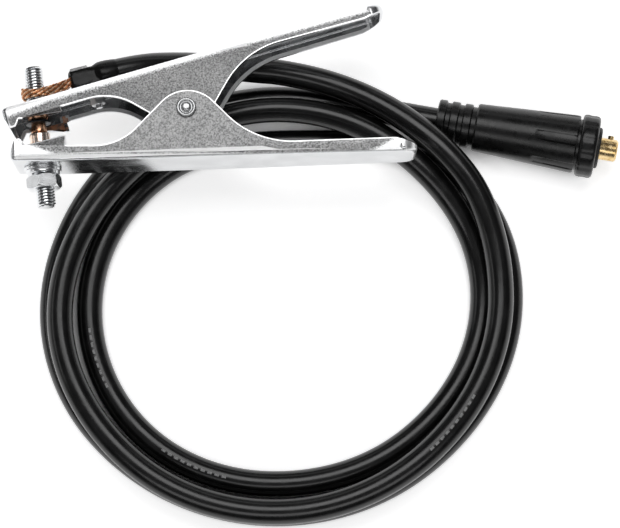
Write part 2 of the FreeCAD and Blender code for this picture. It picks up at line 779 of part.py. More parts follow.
# a copper ferrule holds the strands together inside the sleeve
ferrule_start = sleeve_start + sleeve_axis * FERRULE_INSET
ferrule_length = sleeve_length - SLEEVE_CUP - 2 * FERRULE_INSET
ferrule_r = CONDUCTOR_D / 2 + FACE_GAP
nodes["crimp_ferrule"] = ring(
    ferrule_r + FERRULE_WALL, ferrule_r, ferrule_start, sleeve_axis, ferrule_length
)

# rubber sleeve: narrow at the strands, full round where the cable goes in, with a moulded foot
# that closes over the head of the anchor screw
widening = Part.makeCone(SLEEVE_MOUTH_R, SLEEVE_R, SLEEVE_WIDENS, sleeve_start, sleeve_axis)
taper_start = sleeve_end - sleeve_axis * SLEEVE_TAPER
round_length = sleeve_length - SLEEVE_WIDENS - SLEEVE_TAPER
round_part = rod(SLEEVE_R, taper_start - sleeve_axis * round_length, sleeve_axis, round_length)
taper = Part.makeCone(SLEEVE_R, SLEEVE_END_R, SLEEVE_TAPER, taper_start, sleeve_axis)
foot_reach = (sleeve_start + sleeve_axis * anchor_share).dot(upper_normal) - UPPER_BACK
foot = Part.makeBox(FOOT_LENGTH, foot_reach, FOOT_WIDTH)
foot.translate(V(-FOOT_LENGTH / 2, 0, -FOOT_WIDTH / 2))
foot.rotate(V(0, 0, 0), UP, UPPER_TURN)
foot.translate(anchor_base + upper_normal * FACE_GAP)
sleeve = widening.fuse(round_part).fuse(taper).fuse(foot)
sleeve = sleeve.cut(rod(SLEEVE_BORE_R, sleeve_start, sleeve_axis, sleeve_length))
cup_start = sleeve_end - sleeve_axis * SLEEVE_CUP
sleeve = sleeve.cut(rod(CABLE_R + FACE_GAP, cup_start, sleeve_axis, SLEEVE_CUP))
head_start = anchor_base + upper_normal * ANCHOR_HEAD_UP
pocket_start = head_start - upper_normal * FACE_GAP
pocket = rod(ANCHOR_HEAD_R + FACE_GAP, pocket_start, upper_normal, ANCHOR_HEAD + 2 * FACE_GAP)
sleeve = sleeve.cut(pocket)
sleeve = sleeve.cut(rod(ANCHOR_HOLE_R, anchor_base, upper_normal, ANCHOR_HEAD_UP))
nodes["cable_sleeve"] = sleeve.removeSplitter()

# anchor screw and nut
head = rod(ANCHOR_HEAD_R, head_start, upper_normal, ANCHOR_HEAD)
shank_length = ANCHOR_HEAD_UP + SHEET + ANCHOR_NUT + ANCHOR_PROUD
shank = rod(ANCHOR_R, head_start, upper_normal * -1, shank_length)
nodes["anchor_screw"] = head.fuse(shank).removeSplitter()
nut_top = anchor_base - upper_normal * (SHEET + FACE_GAP)
nodes["anchor_nut"] = chamfered_nut(
    ANCHOR_NUT_FLATS, ANCHOR_R + FACE_GAP, nut_top, upper_normal * -1, ANCHOR_NUT
)

# lower contact: tip, bolt with an inner head, washers and nut
nodes["lower_contact_tip"] = rod(
    LOWER_TIP_R, contact + bolt_down * (CONTACT_GAP / 2), bolt_down, LOWER_TIP
)
lower_tip_end = contact + bolt_down * (LOWER_TIP + CONTACT_GAP / 2 + FACE_GAP)
inner_plate = on_lower_back(LOWER_BACK - SHEET)
lower_head = hexagon(NUT_FLATS, inner_plate + bolt_up * lean_room, bolt_up, LOWER_HEAD)
down = V(0, -1, 0)
lower_washer_start = plate_bottom + down * FACE_GAP
nodes["lower_plain_washer"] = ring(
    CONTACT_WASHER_R, WASHER_HOLE_R, lower_washer_start, down, CONTACT_WASHER
)
spring_washer_start = on_lower_back(LOWER_BACK + CONTACT_WASHER + 2 * FACE_GAP)
split_ring = ring(SPRING_WASHER_R, WASHER_HOLE_R, spring_washer_start, down, SPRING_WASHER)
split = Part.makeBox(
    SPRING_WASHER_SPLIT,
    SPRING_WASHER + 2,
    SPRING_WASHER_R + 1,
    spring_washer_start + V(-SPRING_WASHER_SPLIT / 2, -SPRING_WASHER - 1, -SPRING_WASHER_R - 1),
)
nodes["lower_spring_washer"] = split_ring.cut(split)
nut_start = on_lower_back(LOWER_BACK + CONTACT_WASHER + SPRING_WASHER + 2 * FACE_GAP + lean_room)
nodes["lower_nut"] = chamfered_nut(
    NUT_FLATS, BOLT_CORE_R + FACE_GAP, nut_start, bolt_down, NUT_HEIGHT, NUT_TURN
)
lower_bolt_end = contact + bolt_down * LOWER_STUD_END
lower_free_start = nut_start + bolt_down * (NUT_HEIGHT + THREAD_CLEAR)
nodes["lower_contact_bolt"] = contact_bolt(
    lower_tip_end, lower_free_start, lower_bolt_end, bolt_down, lower_head
)

# cable from the sleeve to the coil
lead_start = cup_start + sleeve_axis * FACE_GAP
lead_out = sleeve_end + sleeve_axis * LEAD_FROM_SLEEVE

# coil: one unbroken tube, straight for one diameter at each end
bearings = coil_bearings()
coil_stops = [coil_point(b) for b in bearings]
coil_dirs = [coil_heading(b) for b in bearings]
coil_edges = []
for i in range(len(bearings) - 1):
    coil_edges += spatial_biarc(
        coil_stops[i], coil_dirs[i], coil_stops[i + 1], coil_dirs[i + 1]
    )
coil_start = coil_stops[0] - coil_dirs[0] * CABLE_D
coil_end = coil_stops[-1] + coil_dirs[-1] * CABLE_D
coil_edges.insert(0, Part.LineSegment(coil_start, coil_stops[0]).toShape())
coil_edges.append(Part.LineSegment(coil_stops[-1], coil_end).toShape())
coil = tube_on(coil_edges, coil_start, coil_dirs[0], CABLE_R)
below = 2 * max(stop[1] for stop in COIL_STOPS)
floor_block = Part.makeBox(2 * below, 2 * below, CABLE_D)
floor_block.translate(COIL_CENTRE - V(below, below, CABLE_D))
coil_tube_volume = coil.Volume
nodes["cable_coil"] = coil.cut(floor_block).removeSplitter()

lead_in = coil_start - coil_dirs[0] * LEAD_TO_COIL
lead_points = (lead_start, lead_out, LEAD_POINT, lead_in, coil_start)
lead, lead_edges, lead_radii = route_tube(lead_points, CABLE_R)
nodes["lead_to_clamp"] = lead

# plug along its own leaning axis, built upright and then laid down
turn = math.radians(PLUG_TURN)
tilt = math.radians(PLUG_TILT)
plug_axis = V(math.cos(tilt) * math.cos(turn), math.cos(tilt) * math.sin(turn), math.sin(tilt))


def along_plug(distance):
    return PLUG_REAR + plug_axis * distance


def plug_rod(radius, start, end):
    return rod(radius, along_plug(start), plug_axis, end - start)


boot_length = BOOT_RINGS * (BOOT_RING + BOOT_NECK)
body_front = boot_length + BODY_LENGTH
neck_front = body_front + BODY_NECK
collar_start = neck_front + FACE_GAP
collar_front = collar_start + COLLAR_RING_LENGTH
jacket_end = boot_length + JACKET_INTO_BODY
shank_start = jacket_end + STRIPPED
flange_front = collar_start + FLANGE
insert_front = collar_front + INSERT_PROUD
pin_end = insert_front + PIN_LENGTH

plug_lead_out = coil_end + coil_dirs[-1] * PLUG_LEAD_FROM_COIL
plug_lead_in = along_plug(-PLUG_LEAD_TO_PLUG)
plug_lead_points = (coil_end, plug_lead_out, plug_lead_in, along_plug(jacket_end))
plug_lead, plug_lead_edges, plug_lead_radii = route_tube(plug_lead_points, CABLE_R)
nodes["lead_to_plug"] = plug_lead.cut(floor_block)

# ringed boot behind the body
boot = plug_rod(BOOT_NECK_R, 0, boot_length - FACE_GAP)
for i in range(BOOT_RINGS):
    ring_start = i * (BOOT_RING + BOOT_NECK)
    boot = boot.fuse(plug_rod(BOOT_RING_R, ring_start, ring_start + BOOT_RING))
nodes["plug_boot"] = boot.cut(plug_rod(CABLE_R + FACE_GAP, 0, boot_length)).removeSplitter()

# body: a widening barrel with a neck for the collar
body = Part.makeCone(BODY_REAR_R, BODY_FRONT_R, BODY_LENGTH, along_plug(boot_length), plug_axis)
body = body.fuse(plug_rod(BODY_NECK_R, body_front, neck_front))
body = body.cut(plug_rod(CABLE_R + FACE_GAP, boot_length, shank_start))
body = body.cut(plug_rod(SHANK_R + FACE_GAP, shank_start, neck_front))
nodes["plug_body"] = body.removeSplitter()

collar_ring = plug_rod(COLLAR_RING_R, collar_start, collar_front)
rims = []
for edge in collar_ring.Edges:
    if len(edge.Vertexes) == 1:
        rims.append(edge)
collar_ring = collar_ring.makeFillet(COLLAR_RING_EDGE, rims)
collar_ring = collar_ring.cut(plug_rod(FLANGE_R + FACE_GAP, collar_start, collar_front))
nodes["plug_collar"] = collar_ring

insert = plug_rod(FLANGE_R, flange_front + FACE_GAP, insert_front)
nodes["plug_insert"] = insert.cut(
    plug_rod(PIN_ROOT_R + FACE_GAP, flange_front, insert_front)
)

# brass pin: a socketed shank inside the body, a flange, and the pin with its bayonet nub
pin = plug_rod(SHANK_R, shank_start + FACE_GAP, collar_start + FACE_GAP)
pin = pin.fuse(plug_rod(FLANGE_R, collar_start, flange_front))
pin = pin.fuse(plug_rod(PIN_ROOT_R, flange_front, insert_front))
pin = pin.fuse(plug_rod(PIN_R, insert_front, pin_end - PIN_CHAMFER))
pin = pin.fuse(
    Part.makeCone(
        PIN_R, PIN_R - PIN_CHAMFER, PIN_CHAMFER, along_plug(pin_end - PIN_CHAMFER), plug_axis
    )
)
plug_side = UP.cross(plug_axis)
plug_side.normalize()
plug_top = plug_axis.cross(plug_side)
nub_start = along_plug(pin_end - NUB_FROM_END)
pin = pin.fuse(rod(NUB_R, nub_start, plug_side, PIN_R + NUB_PROUD))
socket_end = shank_start + SOCKET_DEPTH
pin = pin.cut(plug_rod(CONDUCTOR_D / 2 + FACE_GAP, shank_start, socket_end))
grub_length = math.sqrt(SHANK_R ** 2 - GRUB_R ** 2) - CONDUCTOR_D / 2 - 2 * FACE_GAP
grubs = []
for place in GRUB_PLACES:
    hole_start = along_plug(shank_start + place)
    pin = pin.cut(rod(GRUB_R + FACE_GAP, hole_start, plug_top, SHANK_R))
    grub_start = hole_start + plug_top * (CONDUCTOR_D / 2 + FACE_GAP)
    grubs.append(rod(GRUB_R, grub_start, plug_top, grub_length))
nodes["plug_pin"] = pin.removeSplitter()
for number, grub in enumerate(grubs, 1):
    nodes["plug_grub_screw_" + str(number)] = grub

conductor_end = socket_end - FACE_GAP
nodes["conductor_end"] = plug_rod(CONDUCTOR_D / 2, jacket_end + FACE_GAP, conductor_end)

# least gaps of the cable's centre line to itself and to the leads, on points
coil_points = []
for edge in coil_edges:
    coil_points += edge.discretize(4)[:-1]
neighbours = math.ceil(2 * CABLE_D / (coil_points[40] - coil_points[39]).Length)
self_gap = CABLE_D
for i in range(len(coil_points)):
    for j in range(i + neighbours, len(coil_points)):
        self_gap = min(self_gap, (coil_points[i] - coil_points[j]).Length - CABLE_D)
print("coil least gap to itself", round(self_gap, 2), "on", len(coil_points), "points")
coil_length = sum(edge.Length for edge in coil_edges)
section = math.pi * CABLE_R ** 2
print("coil length", round(coil_length, 1), "volume over section times length",
      round(coil_tube_volume / section / coil_length, 4))
lead_length = sum(edge.Length for edge in lead_edges)
plug_lead_length = sum(edge.Length for edge in plug_lead_edges)
print("cable length", round(coil_length + lead_length + plug_lead_length, 1))

for name, shape in nodes.items():
    shape.exportStep("parts/" + name + ".step")
    print(name, shape.ShapeType, len(shape.Solids), round(shape.Volume, 1), shape.isValid())
print("lead radii", [round(r, 1) for r in lead_radii])
print("plug lead radii", [round(r, 1) for r in plug_lead_radii])
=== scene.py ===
import math

import bmesh
import bpy
from mathutils import Matrix, Vector


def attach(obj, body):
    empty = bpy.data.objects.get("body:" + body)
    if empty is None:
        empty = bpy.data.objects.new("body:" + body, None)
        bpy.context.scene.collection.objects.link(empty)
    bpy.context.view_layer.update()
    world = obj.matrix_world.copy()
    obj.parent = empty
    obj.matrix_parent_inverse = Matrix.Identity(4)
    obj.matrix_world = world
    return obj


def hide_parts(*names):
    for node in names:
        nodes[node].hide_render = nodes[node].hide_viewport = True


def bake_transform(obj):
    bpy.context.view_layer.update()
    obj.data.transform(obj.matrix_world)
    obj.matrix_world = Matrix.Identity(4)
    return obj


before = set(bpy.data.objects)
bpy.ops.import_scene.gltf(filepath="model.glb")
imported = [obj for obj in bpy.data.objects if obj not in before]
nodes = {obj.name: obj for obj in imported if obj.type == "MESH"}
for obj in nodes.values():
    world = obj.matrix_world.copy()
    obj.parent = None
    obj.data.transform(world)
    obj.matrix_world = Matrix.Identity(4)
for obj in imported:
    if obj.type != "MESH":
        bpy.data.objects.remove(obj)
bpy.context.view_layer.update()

# Camera: it looks down on the bench from a little below the picture's middle, from about a metre,
# so the lead lies in the frame as it does in the photograph.
camera_data = bpy.data.cameras.new("camera")
camera_data.lens = 130.4
camera_data.sensor_width = 36.0
camera_data.clip_end = 10.0
camera = bpy.data.objects.new("camera", camera_data)
camera_tilt = math.radians(10.0)
camera_reach = 0.950
looks_at = Vector((0.0511, -0.0597, 0.020))
away = Vector((0.0, -math.sin(camera_tilt), math.cos(camera_tilt)))
camera.location = looks_at + away * camera_reach
camera.rotation_euler = (camera_tilt, 0.0, 0.0)
bpy.context.scene.collection.objects.link(camera)
bpy.context.scene.camera = camera
bpy.context.scene.view_settings.view_transform = "Standard"

# Bench and light: a flat white bench under a softbox overhead and a little behind, with narrow
# strip lamps that draw lines along the bends. The room is dark, and paler just above the bench.
# The bench's own glow fades in close corners, a painted shade that darkens narrow gaps in the coil.
world = bpy.data.worlds.new("studio")
bpy.context.scene.world = world
world.use_nodes = True
room = world.node_tree
room.nodes.clear()
room_out = room.nodes.new("ShaderNodeOutputWorld")
room_light = room.nodes.new("ShaderNodeBackground")
room_seen = room.nodes.new("ShaderNodeBackground")
room_seen.inputs["Color"].default_value = (1, 1, 1, 1)
room_where = room.nodes.new("ShaderNodeTexCoord")
room_split = room.nodes.new("ShaderNodeSeparateXYZ")
room_ramp = room.nodes.new("ShaderNodeValToRGB")
room_ramp.color_ramp.elements[0].position = 0.10
room_ramp.color_ramp.elements[0].color = (0.60, 0.60, 0.60, 1)
room_dark = room_ramp.color_ramp.elements.new(0.24)
room_dark.color = (0.03, 0.03, 0.032, 1)
room_top = room_ramp.color_ramp.elements[2]
room_top.position = 0.85
room_top.color = (0.14, 0.14, 0.144, 1)
room_path = room.nodes.new("ShaderNodeLightPath")
room_mix = room.nodes.new("ShaderNodeMixShader")
room.links.new(room_where.outputs["Generated"], room_split.inputs["Vector"])
room.links.new(room_split.outputs["Z"], room_ramp.inputs["Fac"])
room.links.new(room_ramp.outputs["Color"], room_light.inputs["Color"])
room.links.new(room_path.outputs["Is Camera Ray"], room_mix.inputs["Fac"])
room.links.new(room_light.outputs["Background"], room_mix.inputs[1])
room.links.new(room_seen.outputs["Background"], room_mix.inputs[2])
room.links.new(room_mix.outputs["Shader"], room_out.inputs["Surface"])

bench_mesh = bmesh.new()
bmesh.ops.create_grid(bench_mesh, x_segments=1, y_segments=1, size=3.0)
bench_data = bpy.data.meshes.new("bench")
bench_mesh.to_mesh(bench_data)
bench_mesh.free()
bench = bpy.data.objects.new("bench", bench_data)
bpy.context.scene.collection.objects.link(bench)
bench_paint = bpy.data.materials.new("white_sweep")
bench_paint.use_nodes = True
paint = bench_paint.node_tree
bench_shader = paint.nodes["Principled BSDF"]
bench_shader.inputs["Base Color"].default_value = (0.93, 0.93, 0.93, 1)
bench_shader.inputs["Roughness"].default_value = 0.9
bench_shader.inputs["Specular IOR Level"].default_value = 0.1
bench_glow = paint.nodes.new("ShaderNodeEmission")
bench_glow.inputs["Color"].default_value = (1, 1, 1, 1)
# the glow weakens where the bench is hemmed in, a painted shade in narrow gaps
bench_close = paint.nodes.new("ShaderNodeAmbientOcclusion")
bench_close.inputs["Distance"].default_value = 0.014
bench_gap_shade = paint.nodes.new("ShaderNodeMapRange")
bench_gap_shade.interpolation_type = "SMOOTHSTEP"
bench_gap_shade.inputs["From Min"].default_value = 0.22
bench_gap_shade.inputs["From Max"].default_value = 0.62
bench_gap_shade.inputs["To Max"].default_value = 0.66
bench_sum = paint.nodes.new("ShaderNodeAddShader")
bench_path = paint.nodes.new("ShaderNodeLightPath")
bench_seen = paint.nodes.new("ShaderNodeMath")
bench_seen.operation = "MAXIMUM"
bench_mix = paint.nodes.new("ShaderNodeMixShader")
paint.links.new(bench_close.outputs["AO"], bench_gap_shade.inputs["Value"])
paint.links.new(bench_gap_shade.outputs["Result"], bench_glow.inputs["Strength"])
paint.links.new(bench_shader.outputs["BSDF"], bench_sum.inputs[0])
paint.links.new(bench_glow.outputs["Emission"], bench_sum.inputs[1])
paint.links.new(bench_path.outputs["Is Camera Ray"], bench_seen.inputs[0])
paint.links.new(bench_path.outputs["Is Glossy Ray"], bench_seen.inputs[1])
paint.links.new(bench_seen.outputs["Value"], bench_mix.inputs["Fac"])
paint.links.new(bench_shader.outputs["BSDF"], bench_mix.inputs[1])
paint.links.new(bench_sum.outputs["Shader"], bench_mix.inputs[2])
paint.links.new(bench_mix.outputs["Shader"], paint.nodes["Material Output"].inputs["Surface"])
bench_data.materials.append(bench_paint)


def soft_lamp(name, place, aim, size, watts):
    """A rectangular lamp that points from its place at its aim."""
    lamp_data = bpy.data.lights.new(name, "AREA")
    lamp_data.shape = "RECTANGLE"
    lamp_data.size = size[0]
    lamp_data.size_y = size[1]
    lamp_data.energy = watts
    lamp = bpy.data.objects.new(name, lamp_data)
    lamp.location = place
    lamp.rotation_euler = (Vector(aim) - Vector(place)).to_track_quat("-Z", "Y").to_euler()
    bpy.context.scene.collection.objects.link(lamp)


soft_lamp("overhead_light", (0.04, 0.36, 1.20), (0.04, 0.0, 0.0), (0.9, 0.60), 5.2)
soft_lamp("front_strip", (0.05, -0.72, 0.90), (0.0, 0.0, 0.04), (1.3, 0.34), 2.6)
soft_lamp("back_strip", (0.05, 0.95, 0.45), (0.0, 0.0, 0.04), (1.3, 0.20), 0.7)
soft_lamp("left_strip", (-1.05, 0.0, 0.50), (0.0, 0.0, 0.03), (0.7, 0.20), 0.6)


# Cable: black rubber over fine copper strands, 11 mm thick. It leaves the clamp, makes one outer
# turn on top, one inner turn that drops to the bench, one outer turn below, and ends in the plug.
cable_thickness = 0.011
coil_middle = Vector((0.0385, -0.0740, 0.0))
sleeve_end = Vector((-0.0309, 0.0210, 0.0320))
upper_level = 16.5
bench_level = 5.0
# bearing in degrees, reach from the coil's middle and height, in millimetres
coil_stops = (
    (0, 98.5, 16.2), (10, 96.5, 16.5), (20, 94.7, 18.0), (31, 94.1, 20.0), (37, 93.5, 20.9),
    (45, 93.8, 22.0), (58, 95.2, 20.9), (80, 93.7, 16.9), (90, 93.5, upper_level),
    (135, 90.0, upper_level), (180, 89.9, upper_level), (225, 92.7, upper_level),
    (270, 93.2, upper_level), (287, 89.9, upper_level), (315, 84.8, upper_level),
    (360, 82.3, upper_level), (390, 82.4, upper_level), (405, 82.8, 15.8), (420, 84.9, 12.0),
    (438, 87.2, 6.5), (450, 86.7, bench_level), (495, 80.4, bench_level),
    (540, 77.3, bench_level), (560, 78.7, bench_level), (585, 81.1, bench_level),
    (630, 81.8, bench_level),
    (682, 76.0, bench_level), (720, 70.0, bench_level), (735, 72.5, bench_level),
    (750, 80.0, bench_level), (765, 89.5, bench_level), (780, 96.8, bench_level),
    (795, 98.9, bench_level), (810, 98.4, bench_level), (855, 91.9, bench_level),
    (900, 89.7, bench_level), (945, 93.8, bench_level), (962, 96.5, bench_level),
    (985, 97.9, bench_level), (1010, 95.6, bench_level), (1035, 92.9, bench_level),
    (1069, 89.9, bench_level), (1080, 89.7, 5.05), (1088, 89.9, 5.25),
)


def between_stops(column, bearing):
    """A smooth reading of the reach or the height between the stops on either side."""
    i = 0
    while i < len(coil_stops) - 2 and bearing > coil_stops[i + 1][0]:
        i += 1
    slopes = []
    for j in (i, i + 1):
        before = max(j - 1, 0)
        after = min(j + 1, len(coil_stops) - 1)
        rates = []
        for a, b in ((before, j), (j, after)):
            if a != b:
                span = coil_stops[b][0] - coil_stops[a][0]
                rates.append(((coil_stops[b][column] - coil_stops[a][column]) / span, span))
        if len(rates) == 1:
            slopes.append(rates[0][0])
        else:
            (rate_in, span_in), (rate_out, span_out) = rates
            slopes.append((rate_in * span_out + rate_out * span_in) / (span_in + span_out))
    span = coil_stops[i + 1][0] - coil_stops[i][0]
    t = (bearing - coil_stops[i][0]) / span
    low = coil_stops[i][column]
    high = coil_stops[i + 1][column]
    lead_in = (t ** 3 - 2 * t ** 2 + t) * span * slopes[0]
    lead_out = (t ** 3 - t ** 2) * span * slopes[1]
    return low + (high - low) * (3 * t ** 2 - 2 * t ** 3) + lead_in + lead_out


coil_step = 12
# the finished line runs inside the corners between its points, so they lie this much farther out
coil_slack = 1 / (0.75 + 0.25 * math.cos(math.radians(coil_step)))
cable_points = [
    Vector((-0.0360, 0.0194, 0.0330)),
    Vector((-0.0215, 0.0240, 0.0301)),
    Vector((-0.0035, 0.0271, 0.0207)),
    Vector((0.0117, 0.0276, 0.0157)),
    Vector((0.0276, 0.0258, 0.0160)),
]
for bearing in range(coil_stops[0][0], coil_stops[-1][0] + 1, coil_step):
    reach = between_stops(1, bearing) * coil_slack / 1000
    height = max(between_stops(2, bearing), bench_level) / 1000
    turn = math.radians(bearing)
    cable_points.append(
        coil_middle + Vector((reach * math.sin(turn), reach * math.cos(turn), height))
    )
cable_points += [
    Vector((0.0619, 0.0137, 0.0054)),
    Vector((0.0728, 0.0123, 0.0056)),
    Vector((0.0912, 0.0078, 0.0090)),
    Vector((0.1263, 0.0011, 0.0112)),
]
cable_curve = bpy.data.curves.new("cable", "CURVE")
cable_curve.dimensions = "3D"
cable_curve.bevel_depth = cable_thickness / 2
cable_curve.bevel_resolution = 8
cable_curve.use_fill_caps = True
cable_curve.resolution_u = 10
cable_line = cable_curve.splines.new("NURBS")
cable_line.points.add(len(cable_points) - 1)
for spot, place in zip(cable_line.points, cable_points):
    spot.co = (*place, 1.0)
cable_line.order_u = 3
cable_line.use_endpoint_u = True
cable = bpy.data.objects.new("cable_jacket", cable_curve)
bpy.context.scene.collection.objects.link(cable)


def shader(name, metal):
    """A new material, with its node tree and its main shader."""
    finish = bpy.data.materials.new(name)
    finish.use_nodes = True
    main = finish.node_tree.nodes["Principled BSDF"]
    main.inputs["Metallic"].default_value = metal
    return finish, finish.node_tree, main


def grain(tree, scale, detail, warp=0.0):
    """A noise in the piece's own place, in grains per metre."""
    where = tree.nodes.new("ShaderNodeTexCoord")
    noise = tree.nodes.new("ShaderNodeTexNoise")
    noise.inputs["Scale"].default_value = scale
    noise.inputs["Detail"].default_value = detail
    noise.inputs["Distortion"].default_value = warp
    tree.links.new(where.outputs["Object"], noise.inputs["Vector"])
    return noise.outputs["Fac"]


def spread(tree, value, low, high, start=0.3, end=0.7):
    """A value stretched from one range to another."""
    stretch = tree.nodes.new("ShaderNodeMapRange")
    stretch.inputs["From Min"].default_value = start
    stretch.inputs["From Max"].default_value = end
    stretch.inputs["To Min"].default_value = low
    stretch.inputs["To Max"].default_value = high
    tree.links.new(value, stretch.inputs["Value"])
    return stretch.outputs["Result"]


def tint(tree, value, first, second, start=0.3, end=0.7):
    """A colour that goes from one to another with a value."""
    ramp = tree.nodes.new("ShaderNodeValToRGB")
    ramp.color_ramp.elements[0].position = start
    ramp.color_ramp.elements[0].color = (*first, 1)
    ramp.color_ramp.elements[1].position = end
    ramp.color_ramp.elements[1].color = (*second, 1)
    tree.links.new(value, ramp.inputs["Fac"])
    return ramp.outputs["Color"]


def relief(tree, main, value, strength, depth):
    """A fine relief on the surface, as deep as this in metres."""
    bump = tree.nodes.new("ShaderNodeBump")
    bump.inputs["Strength"].default_value = strength
    bump.inputs["Distance"].default_value = depth
    tree.links.new(value, bump.inputs["Height"])
    tree.links.new(bump.outputs["Normal"], main.inputs["Normal"])


def worked(name, metal, grains, colours, roughness, stretch=(0.3, 0.7), bumps=None, shine=0.5):
    """A finish whose colour and roughness follow one grain, given by its scale, detail and warp."""
    finish, tree, main = shader(name, metal)
    main.inputs["Specular IOR Level"].default_value = shine
    mark = grain(tree, *grains)
    tree.links.new(tint(tree, mark, *colours, *stretch), main.inputs["Base Color"])
    if roughness[0] == roughness[1]:
        main.inputs["Roughness"].default_value = roughness[0]
    else:
        tree.links.new(spread(tree, mark, *roughness), main.inputs["Roughness"])
    if bumps:
        bump_grains, strength, depth = bumps
        relief(tree, main, grain(tree, *bump_grains), strength, depth)
    return finish


jacket_rubber = worked(
    "jacket_rubber", metal=0.0, grains=(160, 5),
    colours=((0.002, 0.002, 0.002), (0.006, 0.006, 0.006)), roughness=(0.19, 0.27),
    bumps=((900, 2), 0.1, 0.0002), shine=0.52,
)
cable_curve.materials.append(jacket_rubber)
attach(cable, "upper_side")
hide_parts("cable_coil", "lead_to_clamp", "lead_to_plug")


# Print on the jacket: three runs of short plain dashes in pale ink, rolled on while the cable
# was made, where the turns face the viewer.
broad_area = 4e-6
broad_share = 0.006


def fitted(shape, name, finishes, body, replaced=(), sharp=30.0):
    """Makes a piece of a finished shape, with its finishes, on the body that it moves with.

    Broad flats stay flat, and edges of more than the sharp angle stay crisp.
    """
    for face in shape.faces:
        area = face.calc_area()
        broad = area > broad_area and area > broad_share * face.calc_perimeter() ** 2
        face.smooth = not broad
    for edge in shape.edges:
        if len(edge.link_faces) == 2 and edge.calc_face_angle(0.0) > math.radians(sharp):
            edge.smooth = False
    data = bpy.data.meshes.new(name)
    shape.to_mesh(data)
    shape.free()
    for finish in finishes:
        data.materials.append(finish)
    piece = bpy.data.objects.new(name, data)
    bpy.context.scene.collection.objects.link(piece)
    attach(piece, body)
    if replaced:
        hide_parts(*replaced)
    return piece


pale_ink = worked(
    "pale_ink", metal=0.0, grains=(1500, 3),
    colours=((0.10, 0.10, 0.10), (0.42, 0.42, 0.42)), roughness=(0.5, 0.5),
)

# the line along the cable's middle, read from the cable without its thickness
bare_line = cable_curve.copy()
bare_line.bevel_depth = 0.0
bare_object = bpy.data.objects.new("bare_line", bare_line)
line_mesh = bpy.data.meshes.new_from_object(bare_object)
line_spots = [v.co.copy() for v in line_mesh.vertices]
bpy.data.objects.remove(bare_object)
bpy.data.curves.remove(bare_line)
bpy.data.meshes.remove(line_mesh)
# distance along the cable at which a run of dashes starts and ends, in metres
dash_runs = ((0.270, 0.302), (0.936, 0.966), (1.000, 1.029))
dash_size = (0.0019, 0.0010, 0.0002)
dash_step = 0.0031
dash_sunk = 0.00004
dashes = bmesh.new()
travelled = 0.0
next_dash = 0.0
for here, there in zip(line_spots, line_spots[1:]):
    span = (there - here).length
    heading = (there - here).normalized()
    across = heading.cross(Vector((0, 0, 1))).normalized()
    while next_dash < travelled + span:
        if any(run[0] < next_dash < run[1] for run in dash_runs):
            middle = here + heading * (next_dash - travelled)
            middle += Vector((0, 0, cable_thickness / 2 - dash_sunk))
            turn = Matrix((heading, across, heading.cross(across))).transposed().to_4x4()
            turn = Matrix.Translation(middle) @ turn @ Matrix.Diagonal((*dash_size, 1.0))
            bmesh.ops.create_cube(dashes, size=1.0, matrix=turn)
        next_dash += dash_step
    travelled += span
bmesh.ops.recalc_face_normals(dashes, faces=dashes.faces)
fitted(dashes, "jacket_dashes", [pale_ink], "upper_side")


# Handles: two channels pressed from 1.5 mm steel sheet and zinc plated. The plate is dull and
# finely mottled on its rolled flats, smoother inside, and bright on the bends and sheared edges.
# Painted highlights run along each bend and round the borders of the flats and the lower tail's
# end, a painted shade darkens the flats inside, and a far tooth shows a painted copper reflection.
rounded_from = math.radians(32)


def rounded_edges(shape, width, segments):
    """Rounds the edges that turn by more than the least angle."""
    sharp = []
    for edge in shape.edges:
        if len(edge.link_faces) == 2 and edge.calc_face_angle(0.0) > rounded_from:
            sharp.append(edge)
    bmesh.ops.bevel(
        shape,
        geom=sharp,
        offset=width,
        segments=segments,
        profile=0.5,
        affect="EDGES",
        clamp_overlap=True,
        material=-1,
    )


merged_within = 5e-6


def softened(node, edge):
    """A copy of a solid with its sharp edges rounded, so that they catch the light."""
    shape = bmesh.new()
    shape.from_mesh(nodes[node].data)
    bmesh.ops.remove_doubles(shape, verts=shape.verts, dist=merged_within)
    bmesh.ops.dissolve_limit(
        shape, angle_limit=math.radians(1.0), verts=shape.verts, edges=shape.edges
    )
    rounded_edges(shape, edge, 2)
    return shape


# distances along the handle over which the bend's painted highlight widens at jaw and tail
jaw_highlight_span = (-0.075, -0.054)
tail_highlight_span = (0.073, 0.088)
# how ragged the painted highlight's border is, and where it fades in across the bend, in metres
highlight_ragged = 0.003
highlight_edge = (-0.0021, -0.0005)


